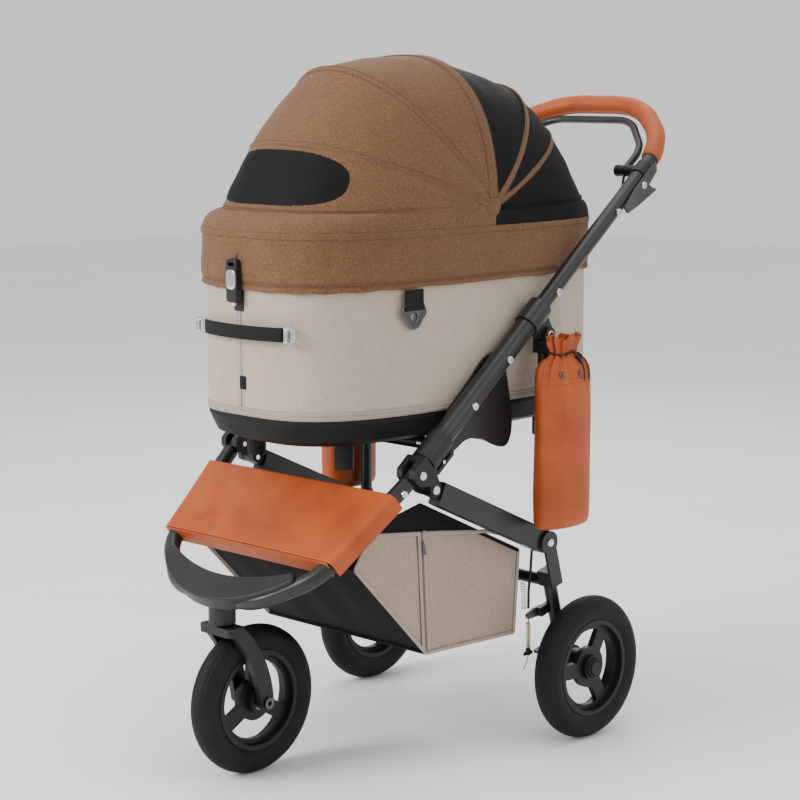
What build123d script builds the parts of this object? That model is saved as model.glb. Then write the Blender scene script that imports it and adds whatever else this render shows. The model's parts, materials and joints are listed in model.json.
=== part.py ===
from build123d import *
from math import atan2, cos, hypot, pi, radians, sin
import os

# Three-wheeled pet stroller with a lift-off cot and a folding hood.  Millimetres.
# X points to the right of the stroller, -Y is the front, +Z is up and Z = 0 is the ground.
# Heights are above the ground, and lengths along Y are measured from the rear axle.

# Overall layout
AXLE_Y = 145.6  # rear axle, so that the origin lies under the middle of the stroller
TRACK = 505.0  # between the rear wheels' mid-planes
WHEELBASE = 508.7
TUBE_X = 204.0  # main tubes, struts and rails, out from the middle
FRAME_TILT = 39.1  # the main tubes, handle and front loop share one plane at this angle
KNUCKLE_Y = AXLE_Y - 356.8  # where the front loop hinges on the main tubes
KNUCKLE_Z = 479.0
LEG_HINGE_Y = AXLE_Y - 58.6
LEG_HINGE_Z = 329.3

# Wheels
WHEEL_R = 117.6
TYRE_R = 22.3
TYRE_WALL = 4.5
RIM_HALF = 17.5
RIM_SEAT_R = 77.5
RIM_LIP_R = 79.2
TYRE_FOOT_R = 79.6
RIM_BAND = 5.5
HUB_R = 20.0
BEARING_R = 14.0
BEARING_WIDTH = 8.0
AXLE_R = 5.95
RUNNING = 0.05  # radial clearance of a shaft in its hole
SPOKES = 3
SPOKE_WIDTH = 24.0
OPENING_IN = 34.0
OPENING_OUT = 63.0
DRUM_R = 26.0

# Main frame; t runs up along the main tubes from the knuckle, h stands square to them
SLEEVE_R = 17.0
HANDLE_R = 13.0
SLEEVE_START = 24.0
SLEEVE_END = 370.0
HANDLE_START = 300.0
HANDLE_TURN = 770.0
HANDLE_TOP = 871.0
HANDLE_FLAT_X = 95.0
HANDLE_BEND_R = 150.0
GRIP_R = 16.0
GRIP_START = 727.0
STRUT_R = 10.0
STRUT_TOP_T = 351.0
STRUT_TOP_H = -41.0
RAIL_WIDTH = 24.0
RAIL_HALF = 19.0
RAIL_PIN_T = 6.0
RAIL_PIN_H = -38.0
BOLT_T = (252.0, 149.0)  # bolts through the sleeves into the cradle plates
PIN_R = 4.0
GAP = 0.3  # between pieces of different bodies that lie side by side

# Front loop
LOOP_R = 13.0
LOOP_SIDE_X = 174.0
LOOP_SIDE_T = -218.0
LOOP_FLAT_X = 90.0
LOOP_TOP = -289.0
LOOP_START = -20.0
TANG_WIDTH = 12.0
TANG_HALF = 9.0
CHEEK_GAP = 15.0
KNUCKLE_WIDTH = 38.0
HEAD_R = 21.0
CASTER_TRAIL = 59.3
HEAD_LOW = 247.0
STEM_R = 9.0

# Cot
COT_Y = AXLE_Y - 175.0
COT_HALF_WIDTH = 178.5
COT_HALF_LENGTH = 342.5
COT_CORNER = 3.3  # exponent of the rounded-rectangle outline
COT_WALL = 4.0
TRAY_LOW = 520.0
TRAY_TOP = 567.5
TRAY_BEND = 38.0
COT_TOP = 846.0
FOOT_R = 15.0
FOOT_LOW = 481.0
FOOT_X = 100.8
FOOT_Y = 230.0
SKIRT_OFFSET = 7.5
SKIRT_LOW = 759.0
SKIRT_TOP = 850.0
FABRIC = 2.2

# Hood: bows are half outlines in planes through the pivot axis; angle 0 points forward
PIVOT_Y = AXLE_Y - 161.0
PIVOT_Z = 875.0
HOOD_HALF_WIDTH = 184.5
BOW_R = 2.5
BOW_STEP = 6.0
LIP = (1.5, 323.0, 3.0)  # angle, reach and corner exponent
NOSE = (20.0, 297.0, 2.4)
FRONT_BOW = (50.3, 277.0, 2.1)
CENTRE_BOW = (87.6, 233.0, 2.45)
REAR_BOW = (136.0, 266.0, 2.1)
TAIL = (154.0, 278.0, 2.5)
REAR_LIP = (178.5, 321.0, 3.0)

# Brake
BAR_R = 6.5
BAR_T = 700.0
BAR_X = 165.0
BAR_TOP = 838.0
BAR_REST = -3.0  # degrees below the plane of the handle
HOUSING_R = 10.0

os.makedirs("parts", exist_ok=True)


def save(part, name):
    part.label = name
    export_step(part, f"parts/{name}.step")


def both_sides(part):
    return Compound(children=list(part.solids()) + list(mirror(part, about=Plane.YZ).solids()))


def frame_point(t, h, x=0.0):
    """A point given along the main tubes (t), square to them (h) and across (x)."""
    tilt = radians(FRAME_TILT)
    y = KNUCKLE_Y + t * cos(tilt) - h * sin(tilt)
    z = KNUCKLE_Z + t * sin(tilt) + h * cos(tilt)
    return (x, y, z)


def frame_plane(h=0.0):
    tilt = radians(FRAME_TILT)
    return Plane(origin=frame_point(0, h), x_dir=(1, 0, 0), z_dir=(0, -sin(tilt), cos(tilt)))


def side_plane(x):
    """The (t, h) plane, upright along the stroller, at x."""
    tilt = radians(FRAME_TILT)
    return Plane(origin=frame_point(0, 0, x), x_dir=(0, cos(tilt), sin(tilt)), z_dir=(1, 0, 0))


def superellipse(a, b, corner, steps=48, centre=(0, 0)):
    """Points of |x/a|^n + |y/b|^n = 1, evenly spaced in the angle parameter."""
    points = []
    for i in range(steps):
        angle = 2 * pi * i / steps
        c, s = cos(angle), sin(angle)
        x = a * abs(c) ** (2 / corner) * (1 if c >= 0 else -1)
        y = b * abs(s) ** (2 / corner) * (1 if s >= 0 else -1)
        points.append((centre[0] + x, centre[1] + y))
    return points


def outline(a, b, z, centre_y=COT_Y, corner=COT_CORNER):
    """A rounded-rectangle face at height z."""
    with BuildSketch(Plane.XY.offset(z)) as face:
        with BuildLine():
            Spline(*superellipse(a, b, corner, centre=(0, centre_y)), periodic=True)
        make_face()
    return face.sketch


# ---------------------------------------------------------------- wheels

def make_tyre(centre):
    """A hollow pneumatic tyre, open towards the rim."""
    section = Plane(origin=centre, x_dir=(1, 0, 0), z_dir=(0, -1, 0))
    crown = WHEEL_R - TYRE_R
    with BuildPart() as tyre:
        with BuildSketch(section):
            with Locations((0, crown)):
                Circle(TYRE_R)
                Circle(TYRE_R - TYRE_WALL, mode=Mode.SUBTRACT)
            with Locations((0, TYRE_FOOT_R - TYRE_R)):
                Rectangle(4 * TYRE_R, 2 * TYRE_R, mode=Mode.SUBTRACT)
        revolve(axis=Axis(centre, (1, 0, 0)))
    return tyre.part


def make_rim(centre, inner_end, outer_end, first_spoke, drum=0.0):
    """Rim band, recessed disc with kidney openings, hub with bearing seats, optional drum."""
    section = Plane(origin=centre, x_dir=(1, 0, 0), z_dir=(0, -1, 0))
    axis = Axis(centre, (1, 0, 0))
    lip = 1.6
    with BuildPart() as rim:
        with BuildSketch(section):
            with Locations((0, RIM_SEAT_R - RIM_BAND / 2)):
                Rectangle(2 * RIM_HALF, RIM_BAND)
            for end in (-1, 1):
                with Locations((end * (RIM_HALF - lip / 2), (RIM_SEAT_R + RIM_LIP_R) / 2)):
                    Rectangle(lip, RIM_LIP_R - RIM_SEAT_R)
            with Locations(((inner_end + outer_end) / 2, HUB_R / 2)):
                Rectangle(outer_end - inner_end, HUB_R)
            with Locations((2, (RIM_SEAT_R - RIM_BAND) / 2)):
                Rectangle(10, RIM_SEAT_R - RIM_BAND + 0.5)
            if drum:
                with Locations((-(drum + RIM_HALF - 6) / 2, DRUM_R / 2)):
                    Rectangle(drum - RIM_HALF + 6, DRUM_R)
        revolve(axis=axis)
        with BuildSketch(Plane(origin=centre, x_dir=(0, 1, 0), z_dir=(1, 0, 0)).offset(-12)):
            Circle(OPENING_OUT)
            Circle(OPENING_IN, mode=Mode.SUBTRACT)
            with PolarLocations(OPENING_OUT, SPOKES, start_angle=first_spoke):
                Rectangle(2 * OPENING_IN, SPOKE_WIDTH, mode=Mode.SUBTRACT)
        extrude(amount=24, mode=Mode.SUBTRACT)
        for end, out in ((inner_end, 1), (outer_end, -1)):
            if drum and out == 1:
                end = -drum
            with BuildSketch(Plane(origin=centre, x_dir=(0, 1, 0), z_dir=(1, 0, 0)).offset(end)):
                Circle(BEARING_R)
            extrude(amount=out * BEARING_WIDTH, mode=Mode.SUBTRACT)
        with BuildSketch(Plane(origin=centre, x_dir=(0, 1, 0), z_dir=(1, 0, 0)).offset(-60)):
            Circle(AXLE_R + 3)
        extrude(amount=120, mode=Mode.SUBTRACT)
    return rim.part


def make_bearings(centre, ends):
    """Two ball-bearing rings, seated in the hub's ends."""
    with BuildPart() as bearings:
        for end, out in ends:
            with BuildSketch(Plane(origin=centre, x_dir=(0, 1, 0), z_dir=(1, 0, 0)).offset(end)):
                Circle(BEARING_R - 0.02)
                Circle(AXLE_R + RUNNING, mode=Mode.SUBTRACT)
            extrude(amount=out * (BEARING_WIDTH - 0.02))
    return bearings.part


front_centre = (0, AXLE_Y - WHEELBASE, WHEEL_R)
rear_centre = (TRACK / 2, AXLE_Y, WHEEL_R)
HUB_OUT = 15.0
DRUM_END = 29.0

front_tyre = make_tyre(front_centre)
save(front_tyre, "front_tyre")
save(make_rim(front_centre, -HUB_R, HUB_R, 90), "front_rim")
save(make_bearings(front_centre, ((-HUB_R, 1), (HUB_R, -1))), "front_bearings")

rear_tyre = make_tyre(rear_centre)
rear_rim = make_rim(rear_centre, -HUB_R, HUB_OUT, 60, DRUM_END)
rear_bearings = make_bearings(rear_centre, ((-DRUM_END, 1), (HUB_OUT, -1)))
with BuildPart() as hub_cap:
    with BuildSketch(Plane(origin=rear_centre, x_dir=(0, 1, 0), z_dir=(1, 0, 0)).offset(HUB_OUT)):
        Circle(17)
    with BuildSketch(Plane(origin=rear_centre, x_dir=(0, 1, 0), z_dir=(1, 0, 0)).offset(HUB_OUT + 3)):
        Circle(16)
    loft()
    with BuildSketch(Plane(origin=rear_centre, x_dir=(0, 1, 0), z_dir=(1, 0, 0)).offset(HUB_OUT + 3)):
        Circle(12)
    extrude(amount=4)
    fillet(hub_cap.faces().sort_by(Axis.X)[-1].edges(), 2.5)
for piece, name in (
    (rear_tyre, "rear_tyre"),
    (rear_rim, "rear_rim"),
    (rear_bearings, "rear_bearings"),
    (hub_cap.part, "rear_hub_cap"),
):
    save(mirror(piece, about=Plane.YZ), f"{name}_left")
    save(piece, f"{name}_right")

# ---------------------------------------------------------------- handle and main tubes

handle_path_points = [
    (TUBE_X, HANDLE_START),
    (TUBE_X, HANDLE_TURN),
    (HANDLE_FLAT_X, HANDLE_TOP),
    (-HANDLE_FLAT_X, HANDLE_TOP),
    (-TUBE_X, HANDLE_TURN),
    (-TUBE_X, HANDLE_START),
]


def arch(points, bend, radius, inner=0.0):
    """A bent tube in the frame's plane, along a polyline with rounded corners."""
    with BuildLine(frame_plane()) as path:
        FilletPolyline(*points, radius=bend)
    wire = path.wire()
    with BuildPart() as tube:
        with BuildSketch(Plane(origin=wire @ 0, z_dir=wire % 0)):
            Circle(radius)
            if inner:
                Circle(inner, mode=Mode.SUBTRACT)
        sweep(path=wire)
    return tube.part


save(arch(handle_path_points, HANDLE_BEND_R, HANDLE_R, HANDLE_R - 2), "handle_tube")
with BuildPart() as grip:
    add(arch(handle_path_points, HANDLE_BEND_R, GRIP_R, HANDLE_R + 0.1))
    with BuildSketch(frame_plane(-40)):
        with Locations((0, GRIP_START - 300)):
            Rectangle(600, 600)
    extrude(amount=80, mode=Mode.SUBTRACT)
save(grip.part, "handle_grip")

with BuildPart() as sleeve:
    with BuildSketch(Plane(origin=frame_point(SLEEVE_START, 0, TUBE_X), z_dir=frame_plane().y_dir)):
        Circle(SLEEVE_R)
    extrude(amount=SLEEVE_END - SLEEVE_START)
    with BuildSketch(Plane(origin=frame_point(HANDLE_START - 1, 0, TUBE_X), z_dir=frame_plane().y_dir)):
        Circle(HANDLE_R + 0.1)
    extrude(amount=SLEEVE_END - HANDLE_START + 2, mode=Mode.SUBTRACT)
    with BuildSketch(Plane(origin=frame_point(SLEEVE_START, 0, TUBE_X), z_dir=frame_plane().y_dir)):
        Circle(SLEEVE_R - 2.5)
    extrude(amount=HANDLE_START - SLEEVE_START - 20, mode=Mode.SUBTRACT)
save(both_sides(sleeve.part), "sleeve_tubes")

# Knuckle: two cheeks under the sleeve, joined by a web that the sleeve stands on.  The front
# loop's tang swings between them on the upper pin, and the side rail is pinned to the lower one.
knuckle_outline = [
    (SLEEVE_START - 0.1, 19), (-8, 19), (-16, 10), (-16, -6), (-8, -16.5), (1, -24),
    (-5, -36), (0, -47), (8, -50), (17, -44), (SLEEVE_START - 0.1, -19),
]
web_t = TANG_HALF + 3
with BuildPart() as knuckle:
    with BuildSketch(side_plane(TUBE_X - KNUCKLE_WIDTH / 2)):
        with BuildLine():
            Polyline(*knuckle_outline, close=True)
        make_face()
    extrude(amount=KNUCKLE_WIDTH)
    with BuildSketch(side_plane(TUBE_X - CHEEK_GAP / 2)):
        with Locations((web_t - 100, 0)):
            Rectangle(200, 200)
        with Locations((50, -24 - 50)):
            Rectangle(110, 100)
    extrude(amount=CHEEK_GAP, mode=Mode.SUBTRACT)
    with BuildSketch(side_plane(TUBE_X - KNUCKLE_WIDTH / 2)):
        with Locations((0, 0), (RAIL_PIN_T, RAIL_PIN_H)):
            Circle(PIN_R + RUNNING)
    extrude(amount=KNUCKLE_WIDTH, mode=Mode.SUBTRACT)
    fillet(knuckle.edges().filter_by(Axis.X).group_by(SortBy.LENGTH)[-1], 3)
save(both_sides(knuckle.part), "knuckles")

# Side rail: a box section from the knuckle down to the rear leg's hinge
rail_front = frame_point(RAIL_PIN_T, RAIL_PIN_H)
RAIL_LENGTH = hypot(LEG_HINGE_Y - rail_front[1], LEG_HINGE_Z - rail_front[2])
rail_angle = atan2(LEG_HINGE_Z - rail_front[2], LEG_HINGE_Y - rail_front[1])
tongue_half = 10.0
tongue_end = 24.0


def rail_plane(x):
    return Plane(
        origin=(x, rail_front[1], rail_front[2]),
        x_dir=(0, cos(rail_angle), sin(rail_angle)),
        z_dir=(1, 0, 0),
    )


with BuildPart() as rail:
    with BuildSketch(rail_plane(TUBE_X - RAIL_WIDTH / 2)):
        with Locations(((tongue_end + RAIL_LENGTH) / 2, 0)):
            Rectangle(RAIL_LENGTH - tongue_end, 2 * RAIL_HALF)
        with Locations((RAIL_LENGTH, 0)):
            Circle(RAIL_HALF)
    extrude(amount=RAIL_WIDTH)
    fillet(rail.edges().filter_by(Plane.YZ), 3)
    with BuildSketch(rail_plane(TUBE_X - CHEEK_GAP / 2 + 1)):
        with Locations((tongue_end / 2 + 1, 0)):
            Rectangle(tongue_end + 2, 2 * tongue_half)
        Circle(tongue_half)
    extrude(amount=CHEEK_GAP - 2)
    with BuildSketch(Plane.XY.offset(LEG_HINGE_Z)):
        with Locations((TUBE_X, LEG_HINGE_Y)):
            Circle(STRUT_R + 2)
    extrude(amount=RAIL_HALF + 12)
    with BuildSketch(rail_plane(TUBE_X - 30)):
        with Locations((0, 0), (RAIL_LENGTH, 0)):
            Circle(PIN_R + RUNNING)
    extrude(amount=60, mode=Mode.SUBTRACT)
save(both_sides(rail.part), "side_rails")

# Strut from the rail's rear end up to a bracket under the sleeve
strut_top = frame_point(STRUT_TOP_T, STRUT_TOP_H)
strut_low = LEG_HINGE_Z + RAIL_HALF + 12
fork_in = 14.4
fork_out = 27.0
with BuildPart() as strut:
    with BuildSketch(Plane.XY.offset(strut_low)):
        with Locations((TUBE_X, LEG_HINGE_Y)):
            Circle(STRUT_R)
    extrude(amount=strut_top[2] - 24 - strut_low)
    with BuildSketch(Plane.YZ.offset(TUBE_X - fork_out / 2)):
        with Locations((strut_top[1], strut_top[2])):
            Circle(12)
        with Locations((strut_top[1], strut_top[2] - 15)):
            Rectangle(24, 30)
    extrude(amount=fork_out)
    with BuildSketch(Plane.YZ.offset(TUBE_X - fork_in / 2)):
        with Locations((strut_top[1], strut_top[2])):
            Rectangle(60, 34)
    extrude(amount=fork_in, mode=Mode.SUBTRACT)
    with BuildSketch(Plane.YZ.offset(TUBE_X - 30)):
        with Locations((strut_top[1], strut_top[2])):
            Circle(PIN_R)
    extrude(amount=60, mode=Mode.SUBTRACT)
save(both_sides(strut.part), "struts")

with BuildPart() as bracket:
    with BuildSketch(Plane(origin=frame_point(328, 0, TUBE_X), z_dir=frame_plane().y_dir)):
        Circle(SLEEVE_R + 3.5)
    extrude(amount=44)
    with BuildSketch(side_plane(TUBE_X - fork_in / 2 + 0.2)):
        with BuildLine():
            Polyline((330, -14), (336, -44), (343, -52), (359, -52), (366, -44), (371, -14), close=True)
        make_face()
    extrude(amount=fork_in - 0.4)
    with BuildSketch(Plane(origin=frame_point(320, 0, TUBE_X), z_dir=frame_plane().y_dir)):
        Circle(SLEEVE_R)
    extrude(amount=60, mode=Mode.SUBTRACT)
    with BuildSketch(side_plane(TUBE_X - 30)):
        with Locations((STRUT_TOP_T, STRUT_TOP_H)):
            Circle(PIN_R)
    extrude(amount=60, mode=Mode.SUBTRACT)
save(both_sides(bracket.part), "upper_brackets")

# Cradle: a plate inside each sleeve and two cross tubes that the cot stands on
CRADLE_Z = TRAY_LOW - 12.0
CRADLE_R = 10.0
CRADLE_FRONT_Y = AXLE_Y - 262.0
CRADLE_REAR_Y = AXLE_Y - 135.0
PLATE_X = 182.3
PLATE_THICK = 4.4


def to_frame(y, z):
    """(t, h) of a point given by Y and Z."""
    tilt = radians(FRAME_TILT)
    dy, dz = y - KNUCKLE_Y, z - KNUCKLE_Z
    return (dy * cos(tilt) + dz * sin(tilt), dz * cos(tilt) - dy * sin(tilt))


front_seat = to_frame(CRADLE_FRONT_Y, CRADLE_Z)
rear_seat = to_frame(CRADLE_REAR_Y, CRADLE_Z)
with BuildPart() as cradle_plate:
    with BuildSketch(side_plane(PLATE_X)):
        with BuildLine():
            Spline(
                (front_seat[0] - 6, front_seat[1] - 3), (94, -18), (106, -1), (144, 8), (200, 10), (252, 9),
                (268, -6), (262, -38), (238, -84), (rear_seat[0] + 17, rear_seat[1] - 8),
                (rear_seat[0] - 2, rear_seat[1] - 15), (rear_seat[0] - 21, rear_seat[1] + 2),
                (148, -76), (118, -55), (front_seat[0] + 3, front_seat[1] - 13), periodic=True,
            )
        make_face()
    extrude(amount=PLATE_THICK)
    with BuildSketch(side_plane(PLATE_X)):
        with Locations((BOLT_T[1], 0), (BOLT_T[0], 0)):
            Circle(PIN_R)
    extrude(amount=PLATE_THICK, mode=Mode.SUBTRACT)
save(both_sides(cradle_plate.part), "cradle_plates")

with BuildPart() as cradle_tubes:
    with BuildSketch(Plane.YZ.offset(-PLATE_X)):
        with Locations((CRADLE_FRONT_Y, CRADLE_Z), (CRADLE_REAR_Y, CRADLE_Z)):
            Circle(CRADLE_R)
            Circle(CRADLE_R - 1.5, mode=Mode.SUBTRACT)
    extrude(amount=2 * PLATE_X)
save(cradle_tubes.part, "cradle_tubes")

RING_X = (128.0, 158.0)
with BuildPart() as rings:
    for seat_y, ring_x in zip((CRADLE_FRONT_Y, CRADLE_REAR_Y), RING_X):
        with BuildSketch(Plane.YZ.offset(ring_x)):
            with Locations((seat_y, CRADLE_Z)):
                Circle(CRADLE_R + 1.6)
                Circle(CRADLE_R + 0.02, mode=Mode.SUBTRACT)
        extrude(amount=9)
save(both_sides(rings.part), "cradle_rings")

# ---------------------------------------------------------------- front frame

loop_points = [
    (TUBE_X, LOOP_START),
    (LOOP_SIDE_X, LOOP_SIDE_T),
    (LOOP_FLAT_X, LOOP_TOP),
    (-LOOP_FLAT_X, LOOP_TOP),
    (-LOOP_SIDE_X, LOOP_SIDE_T),
    (-TUBE_X, LOOP_START),
]
LOOP_BEND_R = 88.0
loop_tube = arch(loop_points, LOOP_BEND_R, LOOP_R)
with BuildPart() as front_loop:
    add(loop_tube)
    for side in (-1, 1):
        with BuildSketch(side_plane(side * TUBE_X - TANG_WIDTH / 2)):
            Circle(TANG_HALF)
            with Locations((LOOP_START / 2 - 2, 0)):
                Rectangle(-LOOP_START + 4, 2 * TANG_HALF)
        extrude(amount=TANG_WIDTH)
        with BuildSketch(side_plane(side * TUBE_X - TANG_WIDTH)):
            Circle(PIN_R + RUNNING)
        extrude(amount=2 * TANG_WIDTH, mode=Mode.SUBTRACT)
save(front_loop.part, "front_loop")

STEER_Y = AXLE_Y - WHEELBASE - CASTER_TRAIL
head_top = frame_point(LOOP_TOP, 0)[2] - LOOP_R - 0.1
with BuildPart() as head:
    with BuildSketch(Plane.XY.offset(HEAD_LOW)):
        with Locations((0, STEER_Y)):
            Circle(HEAD_R)
    extrude(amount=head_top - HEAD_LOW)
    chamfer(head.edges().filter_by(GeomType.CIRCLE), 2.5)
    with BuildSketch(Plane.XY.offset(HEAD_LOW)):
        with Locations((0, STEER_Y)):
            Circle(STEM_R + RUNNING)
    extrude(amount=head_top - HEAD_LOW - 6, mode=Mode.SUBTRACT)
save(head.part, "steering_head")

# Foot step: a crescent tread over the loop's nose
STEP_OUT = -311.0
STEP_IN = -262.0
STEP_X = 150.0
with BuildPart() as foot_step:
    with BuildSketch(frame_plane(-6)) as step_face:
        with BuildLine():
            ThreePointArc((-STEP_X, -244), (0, STEP_OUT), (STEP_X, -244))
            Line((STEP_X, -244), (STEP_X - 12, -230))
            ThreePointArc((STEP_X - 12, -230), (0, STEP_IN), (12 - STEP_X, -230))
            Line((12 - STEP_X, -230), (-STEP_X, -244))
        make_face()
        fillet(step_face.vertices(), 6)
    extrude(amount=25)
    fillet(foot_step.faces().sort_by(Axis((0, 0, 0), frame_plane().z_dir))[-1].edges(), 3)
    with BuildSketch(frame_plane(-7)):
        with BuildLine():
            ThreePointArc((-STEP_X + 9, -242), (0, STEP_OUT + 4), (STEP_X - 9, -242))
            ThreePointArc((STEP_X - 9, -242), (0, STEP_IN - 4), (9 - STEP_X, -242))
        make_face()
    extrude(amount=20.4, mode=Mode.SUBTRACT)
    add(arch(loop_points, LOOP_BEND_R, LOOP_R + 0.4), mode=Mode.SUBTRACT)
save(foot_step.part.solids().sort_by(SortBy.VOLUME)[-1], "foot_step")

# Front cover: a leather apron over the loop's sides, wrapped down outside the tubes
COVER_T = (-58.0, -198.0)
COVER_THICK = 2.6
cover_x = [
    LOOP_SIDE_X + (TUBE_X - LOOP_SIDE_X) * (t - LOOP_SIDE_T) / (LOOP_START - LOOP_SIDE_T) + LOOP_R + 0.6
    for t in COVER_T
]
with BuildPart() as cover:
    with BuildSketch(frame_plane(-LOOP_R)):
        with BuildLine():
            Polyline(
                (-cover_x[0] - COVER_THICK, COVER_T[0]), (cover_x[0] + COVER_THICK, COVER_T[0]),
                (cover_x[1] + COVER_THICK, COVER_T[1]), (-cover_x[1] - COVER_THICK, COVER_T[1]), close=True,
            )
        make_face()
    extrude(amount=2 * LOOP_R + 0.6 + COVER_THICK)
    with BuildSketch(frame_plane(-LOOP_R)):
        with BuildLine():
            Polyline(
                (-cover_x[0], COVER_T[0] + 1), (cover_x[0], COVER_T[0] + 1),
                (cover_x[1], COVER_T[1] - 1), (-cover_x[1], COVER_T[1] - 1), close=True,
            )
        make_face()
    extrude(amount=2 * LOOP_R + 0.6, mode=Mode.SUBTRACT)
save(cover.part, "front_cover")

# Caster fork: stem, crown and two arms that trail back to the wheel's axle
ARM_IN = 25.5
ARM_THICK = 11.0
crown_low = 233.0
crown_top = HEAD_LOW - 0.5
front_axle_y = AXLE_Y - WHEELBASE
with BuildPart() as fork:
    with BuildSketch(Plane.XY.offset(crown_low)):
        with Locations((0, STEER_Y)):
            RectangleRounded(2 * (ARM_IN + ARM_THICK), 34, 8)
    extrude(amount=crown_top - crown_low)
    for x in (-ARM_IN - ARM_THICK, ARM_IN):
        with BuildSketch(Plane.YZ.offset(x)):
            with BuildLine():
                Line((STEER_Y - 15, crown_top - 4), (STEER_Y + 15, crown_top - 4))
                ThreePointArc(
                    (STEER_Y + 15, crown_top - 4), (STEER_Y + 52, 193), (front_axle_y + 13, WHEEL_R),
                )
                ThreePointArc(
                    (front_axle_y + 13, WHEEL_R), (front_axle_y, WHEEL_R - 13), (front_axle_y - 13, WHEEL_R),
                )
                ThreePointArc(
                    (front_axle_y - 13, WHEEL_R), (STEER_Y + 27, 182), (STEER_Y - 15, crown_top - 4),
                )
            make_face()
        extrude(amount=ARM_THICK)
    with BuildSketch(Plane.XY.offset(crown_top - 1)):
        with Locations((0, STEER_Y)):
            Circle(STEM_R)
    extrude(amount=head_top - crown_top - 8)
    with BuildSketch(Plane.YZ.offset(-60)):
        with Locations((front_axle_y, WHEEL_R)):
            Circle(AXLE_R)
    extrude(amount=120, mode=Mode.SUBTRACT)
save(fork.part, "fork")

with BuildPart() as front_axle:
    with BuildSketch(Plane.YZ.offset(-ARM_IN - ARM_THICK)):
        with Locations((front_axle_y, WHEEL_R)):
            Circle(AXLE_R)
    extrude(amount=2 * (ARM_IN + ARM_THICK))
    for x, out in ((-ARM_IN - ARM_THICK, -1), (ARM_IN + ARM_THICK, 1)):
        with BuildSketch(Plane.YZ.offset(x)):
            with Locations((front_axle_y, WHEEL_R)):
                Circle(9)
                RegularPolygon(4, 6, mode=Mode.SUBTRACT)
        extrude(amount=out * 5)
save(front_axle.part, "front_axle")

# ---------------------------------------------------------------- rear legs and brake

leg_dir = Vector(0, AXLE_Y - LEG_HINGE_Y, WHEEL_R - LEG_HINGE_Z).normalized()
LEG_LENGTH = hypot(AXLE_Y - LEG_HINGE_Y, WHEEL_R - LEG_HINGE_Z)
LEG_R = 11.0
LEG_PLATE_X = TUBE_X + RAIL_WIDTH / 2 + GAP + 0.3
LEG_PLATE = 5.0
LEG_TUBE_START = 52.0
LEG_IN = TUBE_X - LEG_R - 1.0
LEG_OUT = TUBE_X + LEG_R + 1.0
CROSS_AT = 72.0


def leg_plane(x):
    """Upright plane with its first axis down the leg."""
    return Plane(origin=(x, LEG_HINGE_Y, LEG_HINGE_Z), x_dir=leg_dir, z_dir=(1, 0, 0))


def across_leg(s, x=0.0):
    centre = Vector(x, LEG_HINGE_Y, LEG_HINGE_Z) + leg_dir * s
    return Plane(origin=centre, x_dir=(1, 0, 0), z_dir=leg_dir)


ARM_PIVOT_S = 118.0
ARM_PIVOT_N = -22.0
with BuildPart() as leg:
    with BuildSketch(leg_plane(LEG_PLATE_X)):
        Circle(RAIL_HALF)
        with Locations((39, 0)):
            Rectangle(78, 26)
    extrude(amount=LEG_PLATE)
    with BuildSketch(leg_plane(LEG_IN)):
        with Locations((LEG_TUBE_START + 12, 0)):
            Rectangle(26, 24.6)
    extrude(amount=LEG_PLATE_X - LEG_IN + 1)
    with BuildSketch(across_leg(LEG_TUBE_START, TUBE_X)):
        Circle(LEG_R)
    extrude(amount=LEG_LENGTH - LEG_TUBE_START)
    with BuildSketch(Plane.YZ.offset(LEG_IN)):
        with Locations((AXLE_Y, WHEEL_R)):
            Circle(14)
    extrude(amount=LEG_OUT - LEG_IN)
    with BuildSketch(Plane.YZ.offset(LEG_OUT - 0.6)):
        with Locations((AXLE_Y, WHEEL_R)):
            Circle(30)
    extrude(amount=5.6)
    with BuildSketch(leg_plane(TUBE_X - LEG_R - 9)):
        with Locations((ARM_PIVOT_S, ARM_PIVOT_N)):
            Circle(PIN_R - RUNNING)
    extrude(amount=10)
    with BuildSketch(leg_plane(LEG_IN)):
        with Locations((ARM_PIVOT_S, ARM_PIVOT_N / 2 - 4)):
            Rectangle(16, -ARM_PIVOT_N + 4)
    extrude(amount=8)
    with BuildSketch(leg_plane(TUBE_X - LEG_R - 9)):
        with Locations((ARM_PIVOT_S + 66, ARM_PIVOT_N - 1)):
            Rectangle(5, 46)
    extrude(amount=18)
    with BuildSketch(leg_plane(TUBE_X - 30)):
        with Locations((0, 0)):
            Circle(PIN_R + RUNNING)
        with Locations((LEG_LENGTH, 0)):
            Circle(AXLE_R)
    extrude(amount=60, mode=Mode.SUBTRACT)
with BuildPart() as cross:
    with BuildSketch(leg_plane(-TUBE_X + LEG_R - 2)):
        with Locations((CROSS_AT, 0)):
            Circle(10)
    extrude(amount=2 * (TUBE_X - LEG_R + 2))
rear_legs = leg.part + mirror(leg.part, about=Plane.YZ) + cross.part
save(rear_legs, "rear_legs")

with BuildPart() as rear_axle:
    with BuildSketch(Plane.YZ.offset(LEG_IN)):
        with Locations((AXLE_Y, WHEEL_R)):
            Circle(AXLE_R)
    extrude(amount=TRACK / 2 + HUB_OUT - LEG_IN)
    with BuildSketch(Plane.YZ.offset(LEG_IN)):
        with Locations((AXLE_Y, WHEEL_R)):
            Circle(10)
    extrude(amount=-6)
save(both_sides(rear_axle.part), "rear_axles")

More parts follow.
